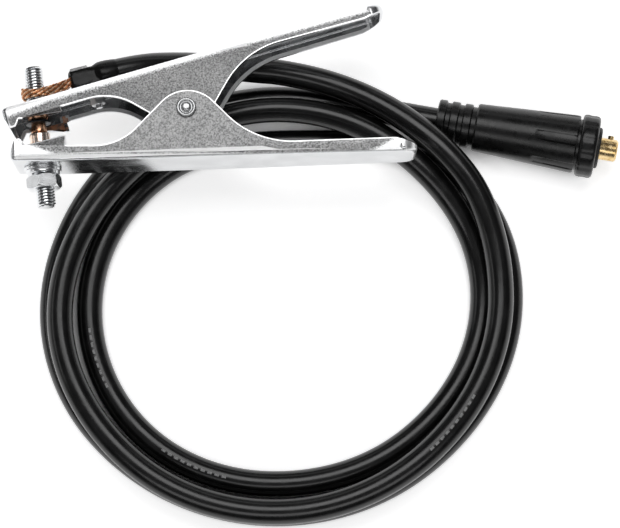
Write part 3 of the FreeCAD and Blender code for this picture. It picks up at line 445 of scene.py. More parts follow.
def mottled(name, turn, back, side, jaw_highlight, tail_highlight, dark, light):
    """Mottled plate with a painted highlight along its bend, wider towards its two ends.

    The bend lies at the distance back from the handle's line, on the side 1 or -1, and the painted
    highlight grows wider by jaw_highlight and tail_highlight. The mottling goes from dark to light.
    """
    finish, tree, main = shader(name, 1.0)
    where = tree.nodes.new("ShaderNodeTexCoord")
    laid = tree.nodes.new("ShaderNodeMapping")
    laid.inputs["Rotation"].default_value = (0.0, 0.0, -turn)
    tree.links.new(where.outputs["Object"], laid.inputs["Vector"])
    split = tree.nodes.new("ShaderNodeSeparateXYZ")
    tree.links.new(laid.outputs["Vector"], split.inputs["Vector"])
    fleck = grain(tree, 1500, 3, 0.5)
    cloud = grain(tree, 60, 4, 0.6)
    near_jaw = spread(tree, split.outputs["X"], jaw_highlight, 0.0, *jaw_highlight_span)
    near_tail = spread(tree, split.outputs["X"], 0.0, tail_highlight, *tail_highlight_span)
    near_ends = tree.nodes.new("ShaderNodeMath")
    near_ends.operation = "ADD"
    tree.links.new(near_jaw, near_ends.inputs[0])
    tree.links.new(near_tail, near_ends.inputs[1])
    bend_highlight_from = tree.nodes.new("ShaderNodeMath")
    bend_highlight_from.operation = "MULTIPLY_ADD"
    bend_highlight_from.inputs[1].default_value = side
    tree.links.new(split.outputs["Y"], bend_highlight_from.inputs[0])
    tree.links.new(near_ends.outputs["Value"], bend_highlight_from.inputs[2])
    uneven = tree.nodes.new("ShaderNodeMath")
    uneven.operation = "MULTIPLY_ADD"
    uneven.inputs[1].default_value = highlight_ragged
    tree.links.new(fleck, uneven.inputs[0])
    tree.links.new(bend_highlight_from.outputs["Value"], uneven.inputs[2])
    # the painted highlight along the bend, mixed in below as near white
    bend_highlight = spread(
        tree, uneven.outputs["Value"], 0.0, 1.0, back + highlight_edge[0], back + highlight_edge[1]
    )
    tone = tint(tree, fleck, (dark,) * 3, (light,) * 3, 0.36, 0.64)
    cloud_tone = tint(tree, cloud, (0.78, 0.785, 0.79), (1.0, 1.0, 1.0), 0.35, 0.65)
    clouded = tree.nodes.new("ShaderNodeMix")
    clouded.data_type = "RGBA"
    clouded.blend_type = "MULTIPLY"
    clouded.inputs["Factor"].default_value = 1.0
    tree.links.new(tone, clouded.inputs["A"])
    tree.links.new(cloud_tone, clouded.inputs["B"])
    bright = tree.nodes.new("ShaderNodeMix")
    bright.data_type = "RGBA"
    bright.inputs["B"].default_value = (0.93, 0.935, 0.94, 1.0)
    tree.links.new(bend_highlight, bright.inputs["Factor"])
    tree.links.new(clouded.outputs["Result"], bright.inputs["A"])
    tree.links.new(bright.outputs["Result"], main.inputs["Base Color"])
    tree.links.new(spread(tree, fleck, 0.34, 0.52), main.inputs["Roughness"])
    relief(tree, main, fleck, 0.25, 0.0001)
    return finish


# the inner flats' plate, darkened as a painted shade inside the channel
inner_plate_painted_shade = worked(
    "inner_plate_painted_shade", metal=1.0, grains=(150, 4, 0.5),
    colours=((0.20, 0.205, 0.21), (0.36, 0.365, 0.37)), roughness=(0.18, 0.32),
)

bright_plate = worked(
    "bright_plate", metal=1.0, grains=(120, 4, 0.5),
    colours=((0.60, 0.61, 0.62), (0.76, 0.77, 0.78)), roughness=(0.14, 0.26),
    bumps=((500, 3), 0.06, 0.0001),
)

# a near white copy of the plate, painted highlight for outer rims, the lower tail's end and a nut
outer_rim_painted_highlight = worked(
    "outer_rim_painted_highlight", metal=1.0, grains=(900, 3),
    colours=((0.90, 0.905, 0.91), (0.99, 0.99, 0.99)), roughness=(0.32, 0.45),
)

# a near white, rough copy of the plate round the inner flats, a painted highlight
inner_rim_painted_highlight = worked(
    "inner_rim_painted_highlight", metal=1.0, grains=(700, 3),
    colours=((0.92, 0.922, 0.925), (0.99, 0.99, 0.99)), roughness=(0.52, 0.68),
)

# a copper-brown copy of the plate, a painted reflection of the copper parts in a far tooth
plate_painted_copper_reflection = worked(
    "plate_painted_copper_reflection", metal=1.0, grains=(260, 4, 1.0),
    colours=((0.36, 0.24, 0.20), (0.88, 0.46, 0.28)), roughness=(0.4, 0.65),
    stretch=(0.4, 0.6),
)

clamp_turn = math.radians(16.4)
upper_along = Vector((math.cos(clamp_turn), math.sin(clamp_turn), 0.0))
upper_normal = Vector((-math.sin(clamp_turn), math.cos(clamp_turn), 0.0))
# cheeks start this far from the channel's middle, and their flats face out at least this squarely
cheek_from = 0.010
flat_enough = 0.985
# widths of the painted highlight strips round the outer and the inner flats
outer_highlight_width = 0.00042
inner_highlight_width = 0.0016
# rear teeth: from this height off the middle, as far as this along the handle, on a fold line
tooth_root = 0.0070
tooth_end = -0.0490
fold_height = 0.0140
# the far tooth's painted copper reflection: its span along the handle and its reach past the crease
copper_reflection_along = (-0.0650, -0.0460)
copper_reflection_past_crease = 0.001
hair = 1e-6


def pressed(
    node, name, outer_plate, body, outward, along, crease, tooth, folds, middle, painted_highlight_from
):
    """A handle with its rear teeth folded inward, dull on its flats and bright elsewhere."""
    # bends, outer flats, inner flats in painted shade, two painted highlight rims, painted copper
    # reflection
    plates = [bright_plate, outer_plate, inner_plate_painted_shade, outer_rim_painted_highlight, inner_rim_painted_highlight, plate_painted_copper_reflection]
    bright, dull, inside, rim, inside_highlight, copper_reflection = range(len(plates))
    shape = softened(node, 0.0002)

    def flat_side(face):
        """1 for a flat on a cheek's outside, -1 for one on its inside, 0 for any other face."""
        side = face.calc_center_median().z - middle
        if abs(side) <= cheek_from or abs(face.normal.z) <= flat_enough:
            return 0
        return 1 if face.normal.z * side > 0 else -1

    # strips round the borders of the outer and inner flats take painted highlights
    for facing, width, finish in (
        (1, outer_highlight_width, rim), (-1, inner_highlight_width, inside_highlight)
    ):
        flats = []
        for face in shape.faces:
            if face.material_index == bright and flat_side(face) == facing:
                flats.append(face)
        rims = bmesh.ops.inset_region(
            shape, faces=flats, thickness=width, depth=0.0, use_boundary=True,
            use_even_offset=False, use_interpolate=False, use_relative_offset=False,
            use_edge_rail=False, use_outset=False,
        )
        for face in rims["faces"]:
            face.material_index = finish
    # faces past this point along the lower handle, at its tail's end, take the painted highlight
    for face in shape.faces:
        if face.material_index == bright and face.calc_center_median().x > painted_highlight_from:
            face.material_index = rim
    for cut_at, cut_way in ((outward * crease, outward), (along * tooth, along)):
        bmesh.ops.bisect_plane(
            shape,
            geom=list(shape.verts) + list(shape.edges) + list(shape.faces),
            plane_co=cut_at,
            plane_no=cut_way,
        )
    for face in shape.faces:
        if face.material_index == bright and flat_side(face):
            face.material_index = dull if flat_side(face) > 0 else inside
    # the far rear tooth's inside gets a painted reflection of the copper parts
    for face in shape.faces:
        spot = face.calc_center_median()
        if (
            copper_reflection_along[0] < along.dot(spot) < copper_reflection_along[1]
            and outward.dot(spot) < crease + copper_reflection_past_crease
            and spot.z < middle
            and face.normal.z > 0.9
        ):
            face.material_index = copper_reflection
    for fold, side in zip(folds, (1, -1)):
        torn = []
        for edge in shape.edges:
            if all(
                abs(along.dot(v.co) - tooth) < hair
                and outward.dot(v.co) < crease + hair
                and (v.co.z - middle) * side > tooth_root
                for v in edge.verts
            ):
                torn.append(edge)
        bmesh.ops.split_edges(shape, edges=torn)
        flap = set()
        for face in shape.faces:
            spot = face.calc_center_median()
            if (
                tooth < along.dot(spot) < tooth_end
                and outward.dot(spot) < crease
                and (spot.z - middle) * side > tooth_root
            ):
                flap.update(v for v in face.verts if outward.dot(v.co) < crease - hair)
        bmesh.ops.rotate(
            shape,
            cent=outward * crease + Vector((0, 0, middle + side * fold_height)),
            matrix=Matrix.Rotation(fold * side, 3, outward.cross(Vector((0, 0, 1)))),
            verts=list(flap),
        )
    bmesh.ops.holes_fill(shape, edges=[e for e in shape.edges if e.is_boundary], sides=0)
    bmesh.ops.dissolve_degenerate(shape, dist=merged_within, edges=shape.edges)
    bmesh.ops.recalc_face_normals(shape, faces=shape.faces)
    fitted(shape, name, plates, body, [node])


pressed(
    "upper_handle", "upper_handle_sheet",
    mottled(
        "upper_mottled_plate", turn=clamp_turn, back=0.0220, side=1.0,
        jaw_highlight=0.002, tail_highlight=0.0, dark=0.07, light=0.36,
    ),
    "upper_side", outward=upper_normal, along=upper_along, crease=0.0156, tooth=-0.0662,
    folds=(math.radians(78), math.radians(20)), middle=0.0379, painted_highlight_from=math.inf,
)
pressed(
    "lower_handle", "lower_handle_sheet",
    mottled(
        "lower_mottled_plate", turn=0.0, back=0.0224, side=-1.0,
        jaw_highlight=0.008, tail_highlight=0.008, dark=0.10, light=0.46,
    ),
    "lower_side", outward=Vector((0, -1, 0)), along=Vector((1, 0, 0)), crease=0.0160,
    tooth=-0.0676, folds=(math.radians(16), math.radians(20)), middle=0.0397,
    painted_highlight_from=0.0905,
)


# Pivot: a headed steel rivet through both pairs of ears, its near end spun over to a ring with a
# button, a plain bush between the ears, and the torsion spring of 2 mm wire that shuts the jaws.
def laid_along(shape, start, direction):
    """Moves a shape that stands on the origin to its start, and turns it to its direction."""
    laid = Vector((0, 0, 1)).rotation_difference(direction).to_matrix().to_4x4()
    bmesh.ops.transform(shape, matrix=Matrix.Translation(start) @ laid, verts=shape.verts)


def dressed(node, name, edge, finish, body):
    """A solid with its sharp edges rounded, as a piece that takes its place."""
    fitted(softened(node, edge), name, [finish], body, [node])


def turned(outline, start, direction, edge=0.0, steps=64):
    """A turned shape: radius and distance along the axis in millimetres, spun all the way round."""
    shape = bmesh.new()
    spots = [shape.verts.new((radius / 1000, 0.0, far / 1000)) for radius, far in outline]
    lines = [shape.edges.new(pair) for pair in zip(spots, spots[1:])]
    bmesh.ops.spin(
        shape,
        geom=spots + lines,
        cent=(0, 0, 0),
        axis=(0, 0, 1),
        dvec=(0, 0, 0),
        angle=2 * math.pi,
        steps=steps,
        use_merge=True,
        use_normal_flip=False,
        use_duplicate=False,
    )
    bmesh.ops.remove_doubles(shape, verts=shape.verts, dist=1e-6)
    bmesh.ops.recalc_face_normals(shape, faces=shape.faces)
    if edge:
        rounded_edges(shape, edge, 3)
    laid_along(shape, start, direction)
    return shape


bright_steel = worked(
    "bright_steel", metal=1.0, grains=(260, 3),
    colours=((0.74, 0.75, 0.76), (0.86, 0.87, 0.88)), roughness=(0.16, 0.24),
    bumps=((260, 3), 0.03, 0.0001),
)

rivet = turned(
    [
        (0.0, -1.5), (3.4, -1.5), (4.1, -0.9), (4.1, -0.05), (3.0, -0.05), (3.0, 29.85),
        (4.1, 29.85), (4.15, 30.6), (3.95, 31.15), (3.5, 31.4), (2.9, 31.25), (2.5, 30.75),
        (2.25, 30.75), (2.2, 31.5), (1.9, 32.0), (1.3, 32.25), (0.6, 32.3), (0.0, 32.3),
    ],
    Vector((0.0, 0.0, 0.0239)),
    Vector((0, 0, 1)),
)
rivet_steel = worked(
    "rivet_steel", metal=1.0, grains=(700, 3),
    colours=((0.34, 0.345, 0.35), (0.56, 0.565, 0.57)), roughness=(0.18, 0.32),
)
fitted(
    rivet, "pivot_rivet_headed", [rivet_steel], "upper_side", ["pivot_rivet"], 50
)
dressed("pivot_bush", "spring_bush", 0.0003, bright_steel, "upper_side")

spring_wire = worked(
    "spring_wire", metal=1.0, grains=(600, 3),
    colours=((0.3, 0.31, 0.33), (0.52, 0.53, 0.55)), roughness=(0.22, 0.4),
)
spring_mesh = bmesh.new()
spring_mesh.from_mesh(nodes["torsion_spring"].data)
bmesh.ops.remove_doubles(spring_mesh, verts=spring_mesh.verts, dist=1e-6)
for face in spring_mesh.faces:
    face.smooth = True
spring_data = bpy.data.meshes.new("spring")
spring_mesh.to_mesh(spring_data)
spring_mesh.free()
spring_data.materials.append(spring_wire)
spring = bpy.data.objects.new("spring", spring_data)
bpy.context.scene.collection.objects.link(spring)
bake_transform(spring)
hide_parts("torsion_spring")


# Upper contact: an M8 bolt of bright steel with a rolled thread, a flat collar inside the jaw and
# a turned copper nose pressed on its end, held in the back plate by a plain washer. The collar and
# the thread's roots are near black, a painted shade, and the copper ring above the collar is a
# painted copper glint.
def threaded(start, direction, length, lead_in):
    """An M8 thread cut square at its start and chamfered at its end, in metres."""
    radius = 0.0040
    core = 0.00325
    root_reach = core + 0.0002
    pitch = 0.00125
    steps = 36
    run_in = 1.5
    shape = bmesh.new()
    flank = ((core, 0.0), (core, 0.1), (radius, 0.34), (radius, 0.66), (core, 0.9), (core, 1.0))
    spots = [shape.verts.new((r, 0.0, (share - run_in) * pitch)) for r, share in flank]
    lines = [shape.edges.new(pair) for pair in zip(spots, spots[1:])]
    turns = math.ceil(length / pitch + run_in + 1)
    bmesh.ops.spin(
        shape,
        geom=spots + lines,
        cent=(0, 0, 0),
        axis=(0, 0, 1),
        dvec=(0, 0, pitch / steps),
        angle=2 * math.pi * turns,
        steps=steps * turns,
        use_merge=False,
        use_normal_flip=False,
        use_duplicate=False,
    )
    bmesh.ops.remove_doubles(shape, verts=shape.verts, dist=2e-6)
    for level, side in ((0.0, -1), (length, 1)):
        cut = bmesh.ops.bisect_plane(
            shape,
            geom=list(shape.verts) + list(shape.edges) + list(shape.faces),
            plane_co=(0, 0, level),
            plane_no=(0, 0, side),
            clear_outer=True,
        )
        rim = [e for e in cut["geom_cut"] if isinstance(e, bmesh.types.BMEdge)]
        bmesh.ops.edgeloop_fill(shape, edges=rim)
    for v in shape.verts:
        allowed = radius - max(0.0, v.co.z - (length - lead_in))
        reach = math.hypot(v.co.x, v.co.y)
        if reach > allowed:
            v.co.x *= allowed / reach
            v.co.y *= allowed / reach
    # the thread's roots take the second finish, a near black painted shade
    for face in shape.faces:
        middle = face.calc_center_median()
        if abs(face.normal.z) < 0.9 and math.hypot(middle.x, middle.y) < root_reach:
            face.material_index = 1
    bmesh.ops.recalc_face_normals(shape, faces=shape.faces)
    laid_along(shape, start, direction)
    return shape


# near black steel, a painted shade for the collar and the thread's roots
steel_painted_shade = worked(
    "steel_painted_shade", metal=1.0, grains=(700, 3),
    colours=((0.025, 0.025, 0.027), (0.06, 0.06, 0.063)), roughness=(0.3, 0.5),
)

bolt_lean = math.radians(6.6)
bolt_up = Vector((-math.sin(bolt_lean), math.cos(bolt_lean), 0.0))
jaw_contact = Vector((-0.0622, -0.0077, 0.0388))
thread_lead_in = 0.0009
upper_thread_start = 0.0067
upper_thread_length = 0.0219
upper_thread = threaded(
    jaw_contact + bolt_up * upper_thread_start, bolt_up, upper_thread_length, thread_lead_in
)
collar_start = 0.0039
collar = turned(
    [(2.6, 0.0), (5.1, 0.2), (5.4, 0.6), (5.2, 1.1), (2.6, 1.3), (2.6, 0.0)],
    jaw_contact + bolt_up * collar_start, bolt_up,
)
fitted(collar, "upper_bolt_collar", [steel_painted_shade], "upper_side")
fitted(
    upper_thread, "upper_bolt_threaded", [bright_steel, steel_painted_shade], "upper_side",
    ["upper_contact_bolt"], 28,
)

turned_copper = worked(
    "turned_copper", metal=1.0, grains=(420, 4, 0.8),
    colours=((0.50, 0.21, 0.10), (0.95, 0.60, 0.40)), roughness=(0.14, 0.34),
    bumps=((420, 4, 0.8), 0.12, 0.0001),
)
nose = turned(
    [(0.0, 0.05), (2.9, 0.05), (3.4, 0.5), (3.4, 1.2), (3.1, 3.0), (3.0, 5.35), (0.0, 5.35)],
    jaw_contact, bolt_up, 0.00015,
)
fitted(
    nose, "upper_contact_nose", [turned_copper], "upper_side", ["upper_contact_tip"], 40
)
# a ring above the collar in the nose's copper, a painted copper glint on the bolt
neck = turned(
    [(3.02, 5.25), (3.4, 5.3), (4.35, 6.7), (4.35, 8.6), (4.02, 8.8), (3.02, 5.25)],
    jaw_contact, bolt_up,
)
fitted(neck, "upper_contact_neck", [turned_copper], "upper_side")
dressed(
    "upper_plain_washer", "upper_washer", 0.0002, bright_steel, "upper_side"
)


# Lower contact: a copper button on a hexagon bolt that passes out through the back plate, with a
# plain washer, a split spring washer and a nut outside. The button's copper is paled nearly to
# white, a painted highlight.
def joined(first, second):
    """Puts the second shape into the first, as one piece of two solids."""
    carried = bpy.data.meshes.new("carried")
    second.to_mesh(carried)
    second.free()
    first.from_mesh(carried)
    bpy.data.meshes.remove(carried)
    return first


bolt_down = -bolt_up
button = turned(
    [(0.0, 0.05), (3.9, 0.05), (4.3, 0.45), (4.3, 5.05), (0.0, 5.05)],
    jaw_contact, bolt_down, 0.00015,
)
# copper paled nearly to white, a painted highlight on the button
copper_painted_highlight = worked(
    "copper_painted_highlight", metal=1.0, grains=(420, 4, 0.8),
    colours=((0.85, 0.60, 0.46), (0.99, 0.88, 0.80)), roughness=(0.12, 0.28),
)
fitted(
    button, "lower_contact_button", [copper_painted_highlight], "lower_side",
    ["lower_contact_tip"], 40,
)
lower_thread_start = 0.0052
lower_thread_length = 0.0264
lower_thread = threaded(
    jaw_contact + bolt_down * lower_thread_start, bolt_down, lower_thread_length, thread_lead_in
)
# the hexagon head is 13 mm across its flats; its reach is taken to its corners, and its middle
# is measured from the contact
head_reach = 0.00751
head_depth = 0.0044
head_middle = 0.0102
head = bmesh.new()
bmesh.ops.create_cone(
    head, cap_ends=True, cap_tris=False, segments=6, radius1=head_reach, radius2=head_reach,
    depth=head_depth,
)
rounded_edges(head, 0.0004, 2)
laid_along(head, jaw_contact + bolt_down * head_middle, bolt_down)
fitted(
    joined(lower_thread, head), "lower_bolt_threaded", [bright_steel, steel_painted_shade], "lower_side",
    ["lower_contact_bolt"], 28,
)
for node, name, edge in (
    ("lower_plain_washer", "lower_washer", 0.0002),
    ("lower_spring_washer", "split_washer", 0.0002),
    ("lower_nut", "hexagon_nut", 0.0003),
):
    dressed(node, name, edge, bright_steel, "lower_side")


# Copper braid: fine bare strands woven flat, looped round the upper bolt on its washer, with both
# ends of the loop drawn together into the rubber sleeve. The crimp ferrule sits out of sight.
def skinned(segments, stations, place):
    """A tube drawn from ring to ring, each point placed by its bearing and its ring's number."""
    shape = bmesh.new()
    bmesh.ops.create_circle(shape, cap_ends=True, segments=segments, radius=1.0)
    rim = list(shape.edges)
    for station in range(1, stations):
        grown = bmesh.ops.extrude_edge_only(shape, edges=rim)
        fresh = [g for g in grown["geom"] if isinstance(g, bmesh.types.BMVert)]
        rim = []
        for e in grown["geom"]:
            if isinstance(e, bmesh.types.BMEdge) and all(v in fresh for v in e.verts):
                rim.append(e)
        bmesh.ops.translate(shape, verts=fresh, vec=(0, 0, 1))
    bmesh.ops.edgeloop_fill(shape, edges=rim)
    for v in shape.verts:
        v.co = place(math.atan2(v.co.y, v.co.x), round(v.co.z))
    bmesh.ops.recalc_face_normals(shape, faces=shape.faces)
    return shape


strand_coppers = []
for tone, low, high in (
    ("mid", (0.52, 0.20, 0.08), (0.86, 0.40, 0.18)),
    ("dark", (0.20, 0.07, 0.03), (0.46, 0.18, 0.08)),
    ("pale", (0.92, 0.56, 0.34), (1.0, 0.80, 0.60)),
):
    strand_coppers.append(
        worked(
            "braid_copper_" + tone, metal=1.0, grains=(500, 2), colours=(low, high),
            roughness=(0.16, 0.4),
        )
    )
braid_climb = 0.0168
braid_middle = jaw_contact + bolt_up * braid_climb
bolt_side = Vector((bolt_up.y, -bolt_up.x, 0.0))
# distance from the bolt's axis towards the sleeve and towards the viewer, climb along the bolt,
# and half the width of the woven band, in millimetres
loop_stops = (
    (18.0, -2.4, 5.4, 1.4), (15.0, -2.0, 4.4, 1.8), (12.0, -0.9, 3.2, 1.9), (8.5, 1.4, 1.7, 1.8),
    (5.0, 3.9, 0.5, 1.6), (1.5, 5.0, -0.3, 1.5), (-2.0, 4.7, -0.1, 1.6), (-4.5, 2.5, 0.4, 2.1),
    (-5.2, 0.0, 0.8, 2.3), (-4.5, -2.5, 0.6, 2.1), (-1.6, -4.9, 0.2, 1.8), (2.0, -5.1, 0.1, 1.8),
    (6.0, -4.7, 0.9, 1.8), (10.5, -4.3, 2.6, 1.8), (15.0, -3.9, 4.4, 1.6), (18.0, -3.7, 5.4, 1.4),
)
loop_steps = 6
loop_line = []
for i in range(1, len(loop_stops) - 2):
    for j in range(loop_steps):
        t = j / loop_steps
        spot = []
        for a, b, c, d in zip(*loop_stops[i - 1:i + 3]):
            spot.append(
                b + 0.5 * t * (c - a + t * (2 * a - 5 * b + 4 * c - d + t * (3 * (b - c) + d - a)))
            )
        loop_line.append(spot)
strand_radius = 0.00040
strand_count = 12
weave_length = 26.0
# how far a strand lies over or under the next one, and how far it wavers, in millimetres
ply = 0.42
waver = 0.22
# the share of the ply left at the band's two edges, and how far the waver turns from point to
# point and from strand to strand, in radians
share_at_edges = 0.4
waver_turn = 1.9
strand_turn = 2.4


def strand_place(strand):
    """The places of one strand's points: it runs to and fro across the band, over and under."""
    def place(bearing, station):
        side, near, climb, half = loop_line[station]
        before = Vector(loop_line[max(station - 1, 0)][:2])
        after = Vector(loop_line[min(station + 1, len(loop_line) - 1)][:2])
        heading = (after - before).normalized()
        outward = Vector((heading.y, -heading.x))
        phase = (station / weave_length + strand / strand_count) % 1.0
        zigzag = 4 * abs(phase - 0.5) - 1
        over = ply if phase < 0.5 else -ply
        towards_middle = math.sin(2 * math.pi * phase) ** 2
        over *= towards_middle * (1 - share_at_edges) + share_at_edges
        over += waver * math.sin(station * waver_turn + strand * strand_turn)
        centre = (
            braid_middle
            + bolt_side * ((side + outward.x * over) / 1000)
            + Vector((0, 0, (near + outward.y * over) / 1000))
            + bolt_up * ((climb + zigzag * half) / 1000)
        )
        path_side = bolt_side * outward.x + Vector((0, 0, outward.y))
        across = path_side * math.cos(bearing) + bolt_up * math.sin(bearing)
        return centre + across * strand_radius
    return place


braid = bmesh.new()
for strand in range(strand_count):
    drawn_strand = skinned(6, len(loop_line), strand_place(strand))
    for face in drawn_strand.faces:
        face.material_index = strand % len(strand_coppers)
    joined(braid, drawn_strand)
fitted(braid, "woven_braid", strand_coppers, "upper_side", ["copper_braid"], 80)
dressed("crimp_ferrule", "crimped_ferrule", 0.0001, turned_copper, "upper_side")


# Sleeve: moulded black rubber, pressed flat over the strands at its mouth and round over the
# cable's end, with a foot that closes over the screw that anchors it to the handle's back. A pale
# grey ridge stands along the top edge of its mouth, a painted highlight.
moulded_rubber = worked(
    "moulded_rubber", metal=0.0, grains=(260, 4),
    colours=((0.002, 0.002, 0.002), (0.006, 0.006, 0.006)), roughness=(0.2, 0.34),
    bumps=((260, 4), 0.12, 0.0002), shine=0.22,
)
sleeve_mouth = Vector((-0.0496, 0.01505, 0.0358))
sleeve_axis = (sleeve_end - sleeve_mouth).normalized()
sleeve_rise = Vector((0, 0, 1)).cross(sleeve_axis).normalized()
sleeve_near = sleeve_axis.cross(sleeve_rise)
# distance from the mouth, half height, half depth, squareness and how far the middle climbs
sleeve_stops = (
    (3.0, 3.4, 2.8, 2.2, 0.0), (0.4, 4.0, 3.3, 2.6, 0.0), (0.0, 4.45, 3.8, 3.4, 0.0),
    (0.35, 4.6, 4.0, 4.4, 0.0), (3.0, 4.6, 4.0, 5.0, 0.0), (6.5, 4.5, 4.05, 5.0, 0.05),
    (8.8, 4.45, 4.1, 4.0, 0.1), (9.8, 4.5, 4.2, 3.2, 0.1), (10.6, 4.8, 4.6, 2.6, 0.15),
    (11.6, 5.4, 5.3, 2.2, 0.1), (12.8, 5.85, 5.85, 2.0, 0.05), (14.4, 6.0, 6.0, 2.0, 0.0),
    (16.4, 5.95, 5.95, 2.0, 0.0), (18.4, 5.75, 5.75, 2.0, 0.0), (19.6, 5.6, 5.6, 2.0, 0.0),
    (19.95, 5.54, 5.54, 2.0, 0.0), (19.9, 5.4, 5.4, 2.0, 0.0),
)


def sleeve_place(bearing, station):
    """A point of the sleeve's skin: its rings go from a rounded box at the mouth to a circle."""
    far, high, deep, square, climb = sleeve_stops[station]
    c = abs(math.cos(bearing)) ** (2 / square) * math.copysign(1, math.cos(bearing))
    s = abs(math.sin(bearing)) ** (2 / square) * math.copysign(1, math.sin(bearing))
    return (
        sleeve_mouth
        + sleeve_axis * (far / 1000)
        + sleeve_rise * ((high * s + climb) / 1000)
        + sleeve_near * (deep * c / 1000)
    )


def rounded_block(size, edge, segments, place, turn):
    """A block with rounded edges, turned and then moved to its place."""
    shape = bmesh.new()
    bmesh.ops.create_cube(shape, size=1.0, matrix=Matrix.Diagonal((*size, 1.0)))
    rounded_edges(shape, edge, segments)
    bmesh.ops.transform(shape, matrix=Matrix.Translation(place) @ turn, verts=shape.verts)
    return shape


sleeve_skin = skinned(48, len(sleeve_stops), sleeve_place)
anchor_base = Vector((-0.0395, 0.01131, 0.03413))
foot_size = (0.0086, 0.0096, 0.0080)
foot_lift = 0.00485
foot = rounded_block(
    foot_size, 0.0012, 3, anchor_base + upper_normal * foot_lift,
    Matrix.Rotation(clamp_turn, 4, "Z"),
)
fitted(
    joined(sleeve_skin, foot), "rubber_sleeve", [moulded_rubber], "upper_side",
    ["cable_sleeve"], 50,
)
# pale grey rubber for a strip along the mouth's top edge, a painted highlight
sleeve_lip_painted_highlight = worked(
    "sleeve_lip_painted_highlight", metal=0.0, grains=(900, 3),
    colours=((0.30, 0.30, 0.30), (0.60, 0.60, 0.60)), roughness=(0.35, 0.35),
)
lip_strip_size = (0.0074, 0.0013, 0.0072)
lip_strip_along = 0.0042
lip_strip_up = 0.0044
lip_strip_place = sleeve_mouth + sleeve_axis * lip_strip_along + sleeve_rise * lip_strip_up
lip_strip_turn = Matrix((sleeve_axis, sleeve_rise, sleeve_near)).transposed().to_4x4()
lip_strip = rounded_block(lip_strip_size, 0.0002, 2, lip_strip_place, lip_strip_turn)
fitted(lip_strip, "sleeve_lip_highlight", [sleeve_lip_painted_highlight], "upper_side")


# Anchor: a small steel screw through the back plate, its head inside the sleeve's foot and its
# tall lock nut drawn up inside the handle. The nut is near white, a painted highlight.
dressed(
    "anchor_screw", "anchor_screw_plain", 0.0002, bright_steel, "upper_side"
)
dressed(
    "anchor_nut", "anchor_lock_nut", 0.0003, outer_rim_painted_highlight, "upper_side"
)


# Plug handle: a ringed boot and a barrel of moulded black rubber, grooved lengthwise towards the
# front, where a separate grip ring is pushed on over the barrel's neck.
plug_rubber = worked(
    "plug_rubber", metal=0.0, grains=(300, 4),
    colours=((0.002, 0.002, 0.002), (0.006, 0.006, 0.006)), roughness=(0.23, 0.33),
    bumps=((1500, 2), 0.15, 0.00015), shine=0.4,
)

plug_rear = Vector((0.1059, 0.0050, 0.00995))
plug_yaw = math.radians(-10.8)
plug_rake = math.radians(3.5)
plug_axis = Vector(
    (
        math.cos(plug_rake) * math.cos(plug_yaw),
        math.cos(plug_rake) * math.sin(plug_yaw),
        math.sin(plug_rake),
    )
)
plug_side = Vector((0, 0, 1)).cross(plug_axis).normalized()
plug_top = plug_axis.cross(plug_side)

# one ring of the boot: radius and distance from the ring's rear, in millimetres
boot_ring = ((8.6, -0.15), (9.1, 0.0), (9.5, 0.4), (9.5, 3.2), (9.1, 3.6), (8.6, 3.75))
boot_outline = [(5.55, 0.0), (8.9, 0.0), (9.5, 0.6), *boot_ring[3:]]
for ring_rear in (5.6, 11.2):
    boot_outline += [(radius, ring_rear + far) for radius, far in boot_ring]
boot_outline += [(8.6, 16.75), (5.55, 16.75), (5.55, 0.0)]
boot = turned(boot_outline, plug_rear, plug_axis, 0.0, 72)
fitted(boot, "plug_boot_rings", [plug_rubber], "upper_side", ["plug_boot"], 30)


def plug_spot(bearing, far, radius):
    """A point round the plug's axis, its distances in millimetres."""
    around = plug_side * math.sin(bearing) + plug_top * math.cos(bearing)
    return plug_rear + plug_axis * (far / 1000) + around * (radius / 1000)


# distance from the plug's rear and radius, in millimetres
barrel_stops = (
    (16.8, 9.3), (16.85, 9.9), (17.5, 10.35), (20.0, 10.45), (28.0, 10.85), (36.0, 11.3),
    (42.0, 11.6), (43.0, 11.65), (43.6, 11.68), (48.0, 11.9), (54.0, 12.2), (59.0, 12.45),
    (60.4, 12.45), (60.95, 12.1), (61.0, 11.0), (62.0, 11.0), (62.0, 6.1),
)
# six shallow flats, each with a narrow deep slot along one side, in degrees and millimetres
flats_along = (43.3, 60.5)
slots_from = 46.0
slot_bearing = 43.0
flat_spacing = 60.0
slot_width = 2.5
flat_width = 20.0
slot_depth = 0.7
flat_depth = 0.25


def barrel_place(bearing, station):
    """A point of the barrel's skin, which is sunk at the flats and deeper at their slots."""
    far, radius = barrel_stops[station]
    if flats_along[0] < far < flats_along[1]:
        turn = (math.degrees(bearing) - slot_bearing) % flat_spacing
        if turn < slot_width and far > slots_from:
            radius -= slot_depth
        elif turn < flat_width:
            radius -= flat_depth
    return plug_spot(bearing, far, radius)


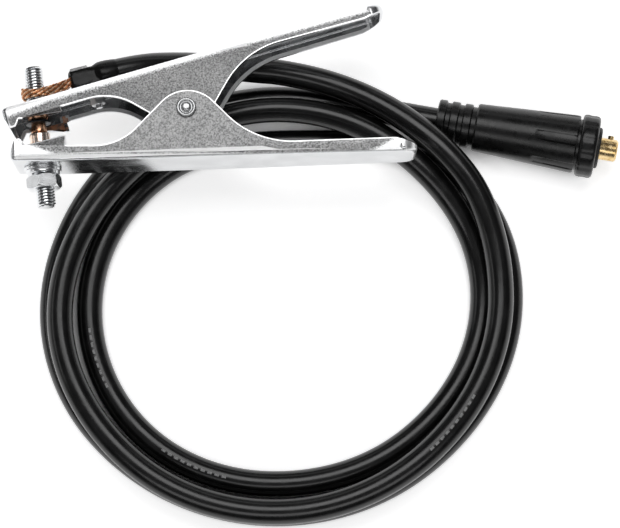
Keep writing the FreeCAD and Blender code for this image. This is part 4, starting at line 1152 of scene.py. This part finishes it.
barrel = skinned(180, len(barrel_stops), barrel_place)
fitted(barrel, "plug_barrel", [plug_rubber], "upper_side", ["plug_body"], 28)

grip_stops = (
    (62.05, 9.0), (62.05, 12.2), (62.3, 12.9), (62.9, 13.35), (64.0, 13.5), (65.8, 13.3),
    (67.4, 13.45), (68.6, 13.3), (69.3, 12.7), (69.55, 11.9), (69.55, 10.0), (69.2, 9.6),
    (69.2, 9.0),
)
grooves_along = (62.5, 69.0)
groove_count = 12
groove_depth = 0.22


def grip_place(bearing, station):
    """A point of the grip ring's skin, which is grooved lengthwise between its two rims."""
    far, radius = grip_stops[station]
    if grooves_along[0] < far < grooves_along[1]:
        radius -= groove_depth * max(0.0, math.cos(groove_count * bearing)) ** 2
    return plug_spot(bearing, far, radius)


grip = skinned(144, len(grip_stops), grip_place)
fitted(grip, "plug_grip_ring", [plug_rubber], "upper_side", ["plug_collar"], 50)

face_plastic = worked(
    "face_plastic", metal=0.0, grains=(700, 3),
    colours=((0.004, 0.004, 0.004), (0.012, 0.012, 0.012)), roughness=(0.42, 0.6),
)
face_ring = turned(
    [
        (5.15, 64.6), (8.8, 64.6), (8.8, 70.3), (8.4, 70.9), (7.8, 71.05), (6.4, 71.0),
        (6.0, 70.6), (5.15, 70.5), (5.15, 64.6),
    ],
    plug_rear, plug_axis,
)
fitted(
    face_ring, "plug_face_ring", [face_plastic], "upper_side", ["plug_insert"], 40
)


# Plug contact: a turned brass pin with its bayonet nub, socketed at the rear for the bared
# conductor, which two grub screws hold.
turned_brass = worked(
    "turned_brass", metal=1.0, grains=(600, 4, 0.6),
    colours=((0.55, 0.36, 0.13), (0.95, 0.74, 0.42)), roughness=(0.15, 0.32),
    bumps=((600, 4, 0.6), 0.1, 0.0001),
)
dressed("plug_pin", "bayonet_pin", 0.0003, turned_brass, "upper_side")
dressed("conductor_end", "bared_conductor", 0.0002, strand_coppers[0], "upper_side")
for number in ("1", "2"):
    dressed(
        "plug_grub_screw_" + number, "grub_screw_" + number, 0.0002, bright_steel, "upper_side",
    )
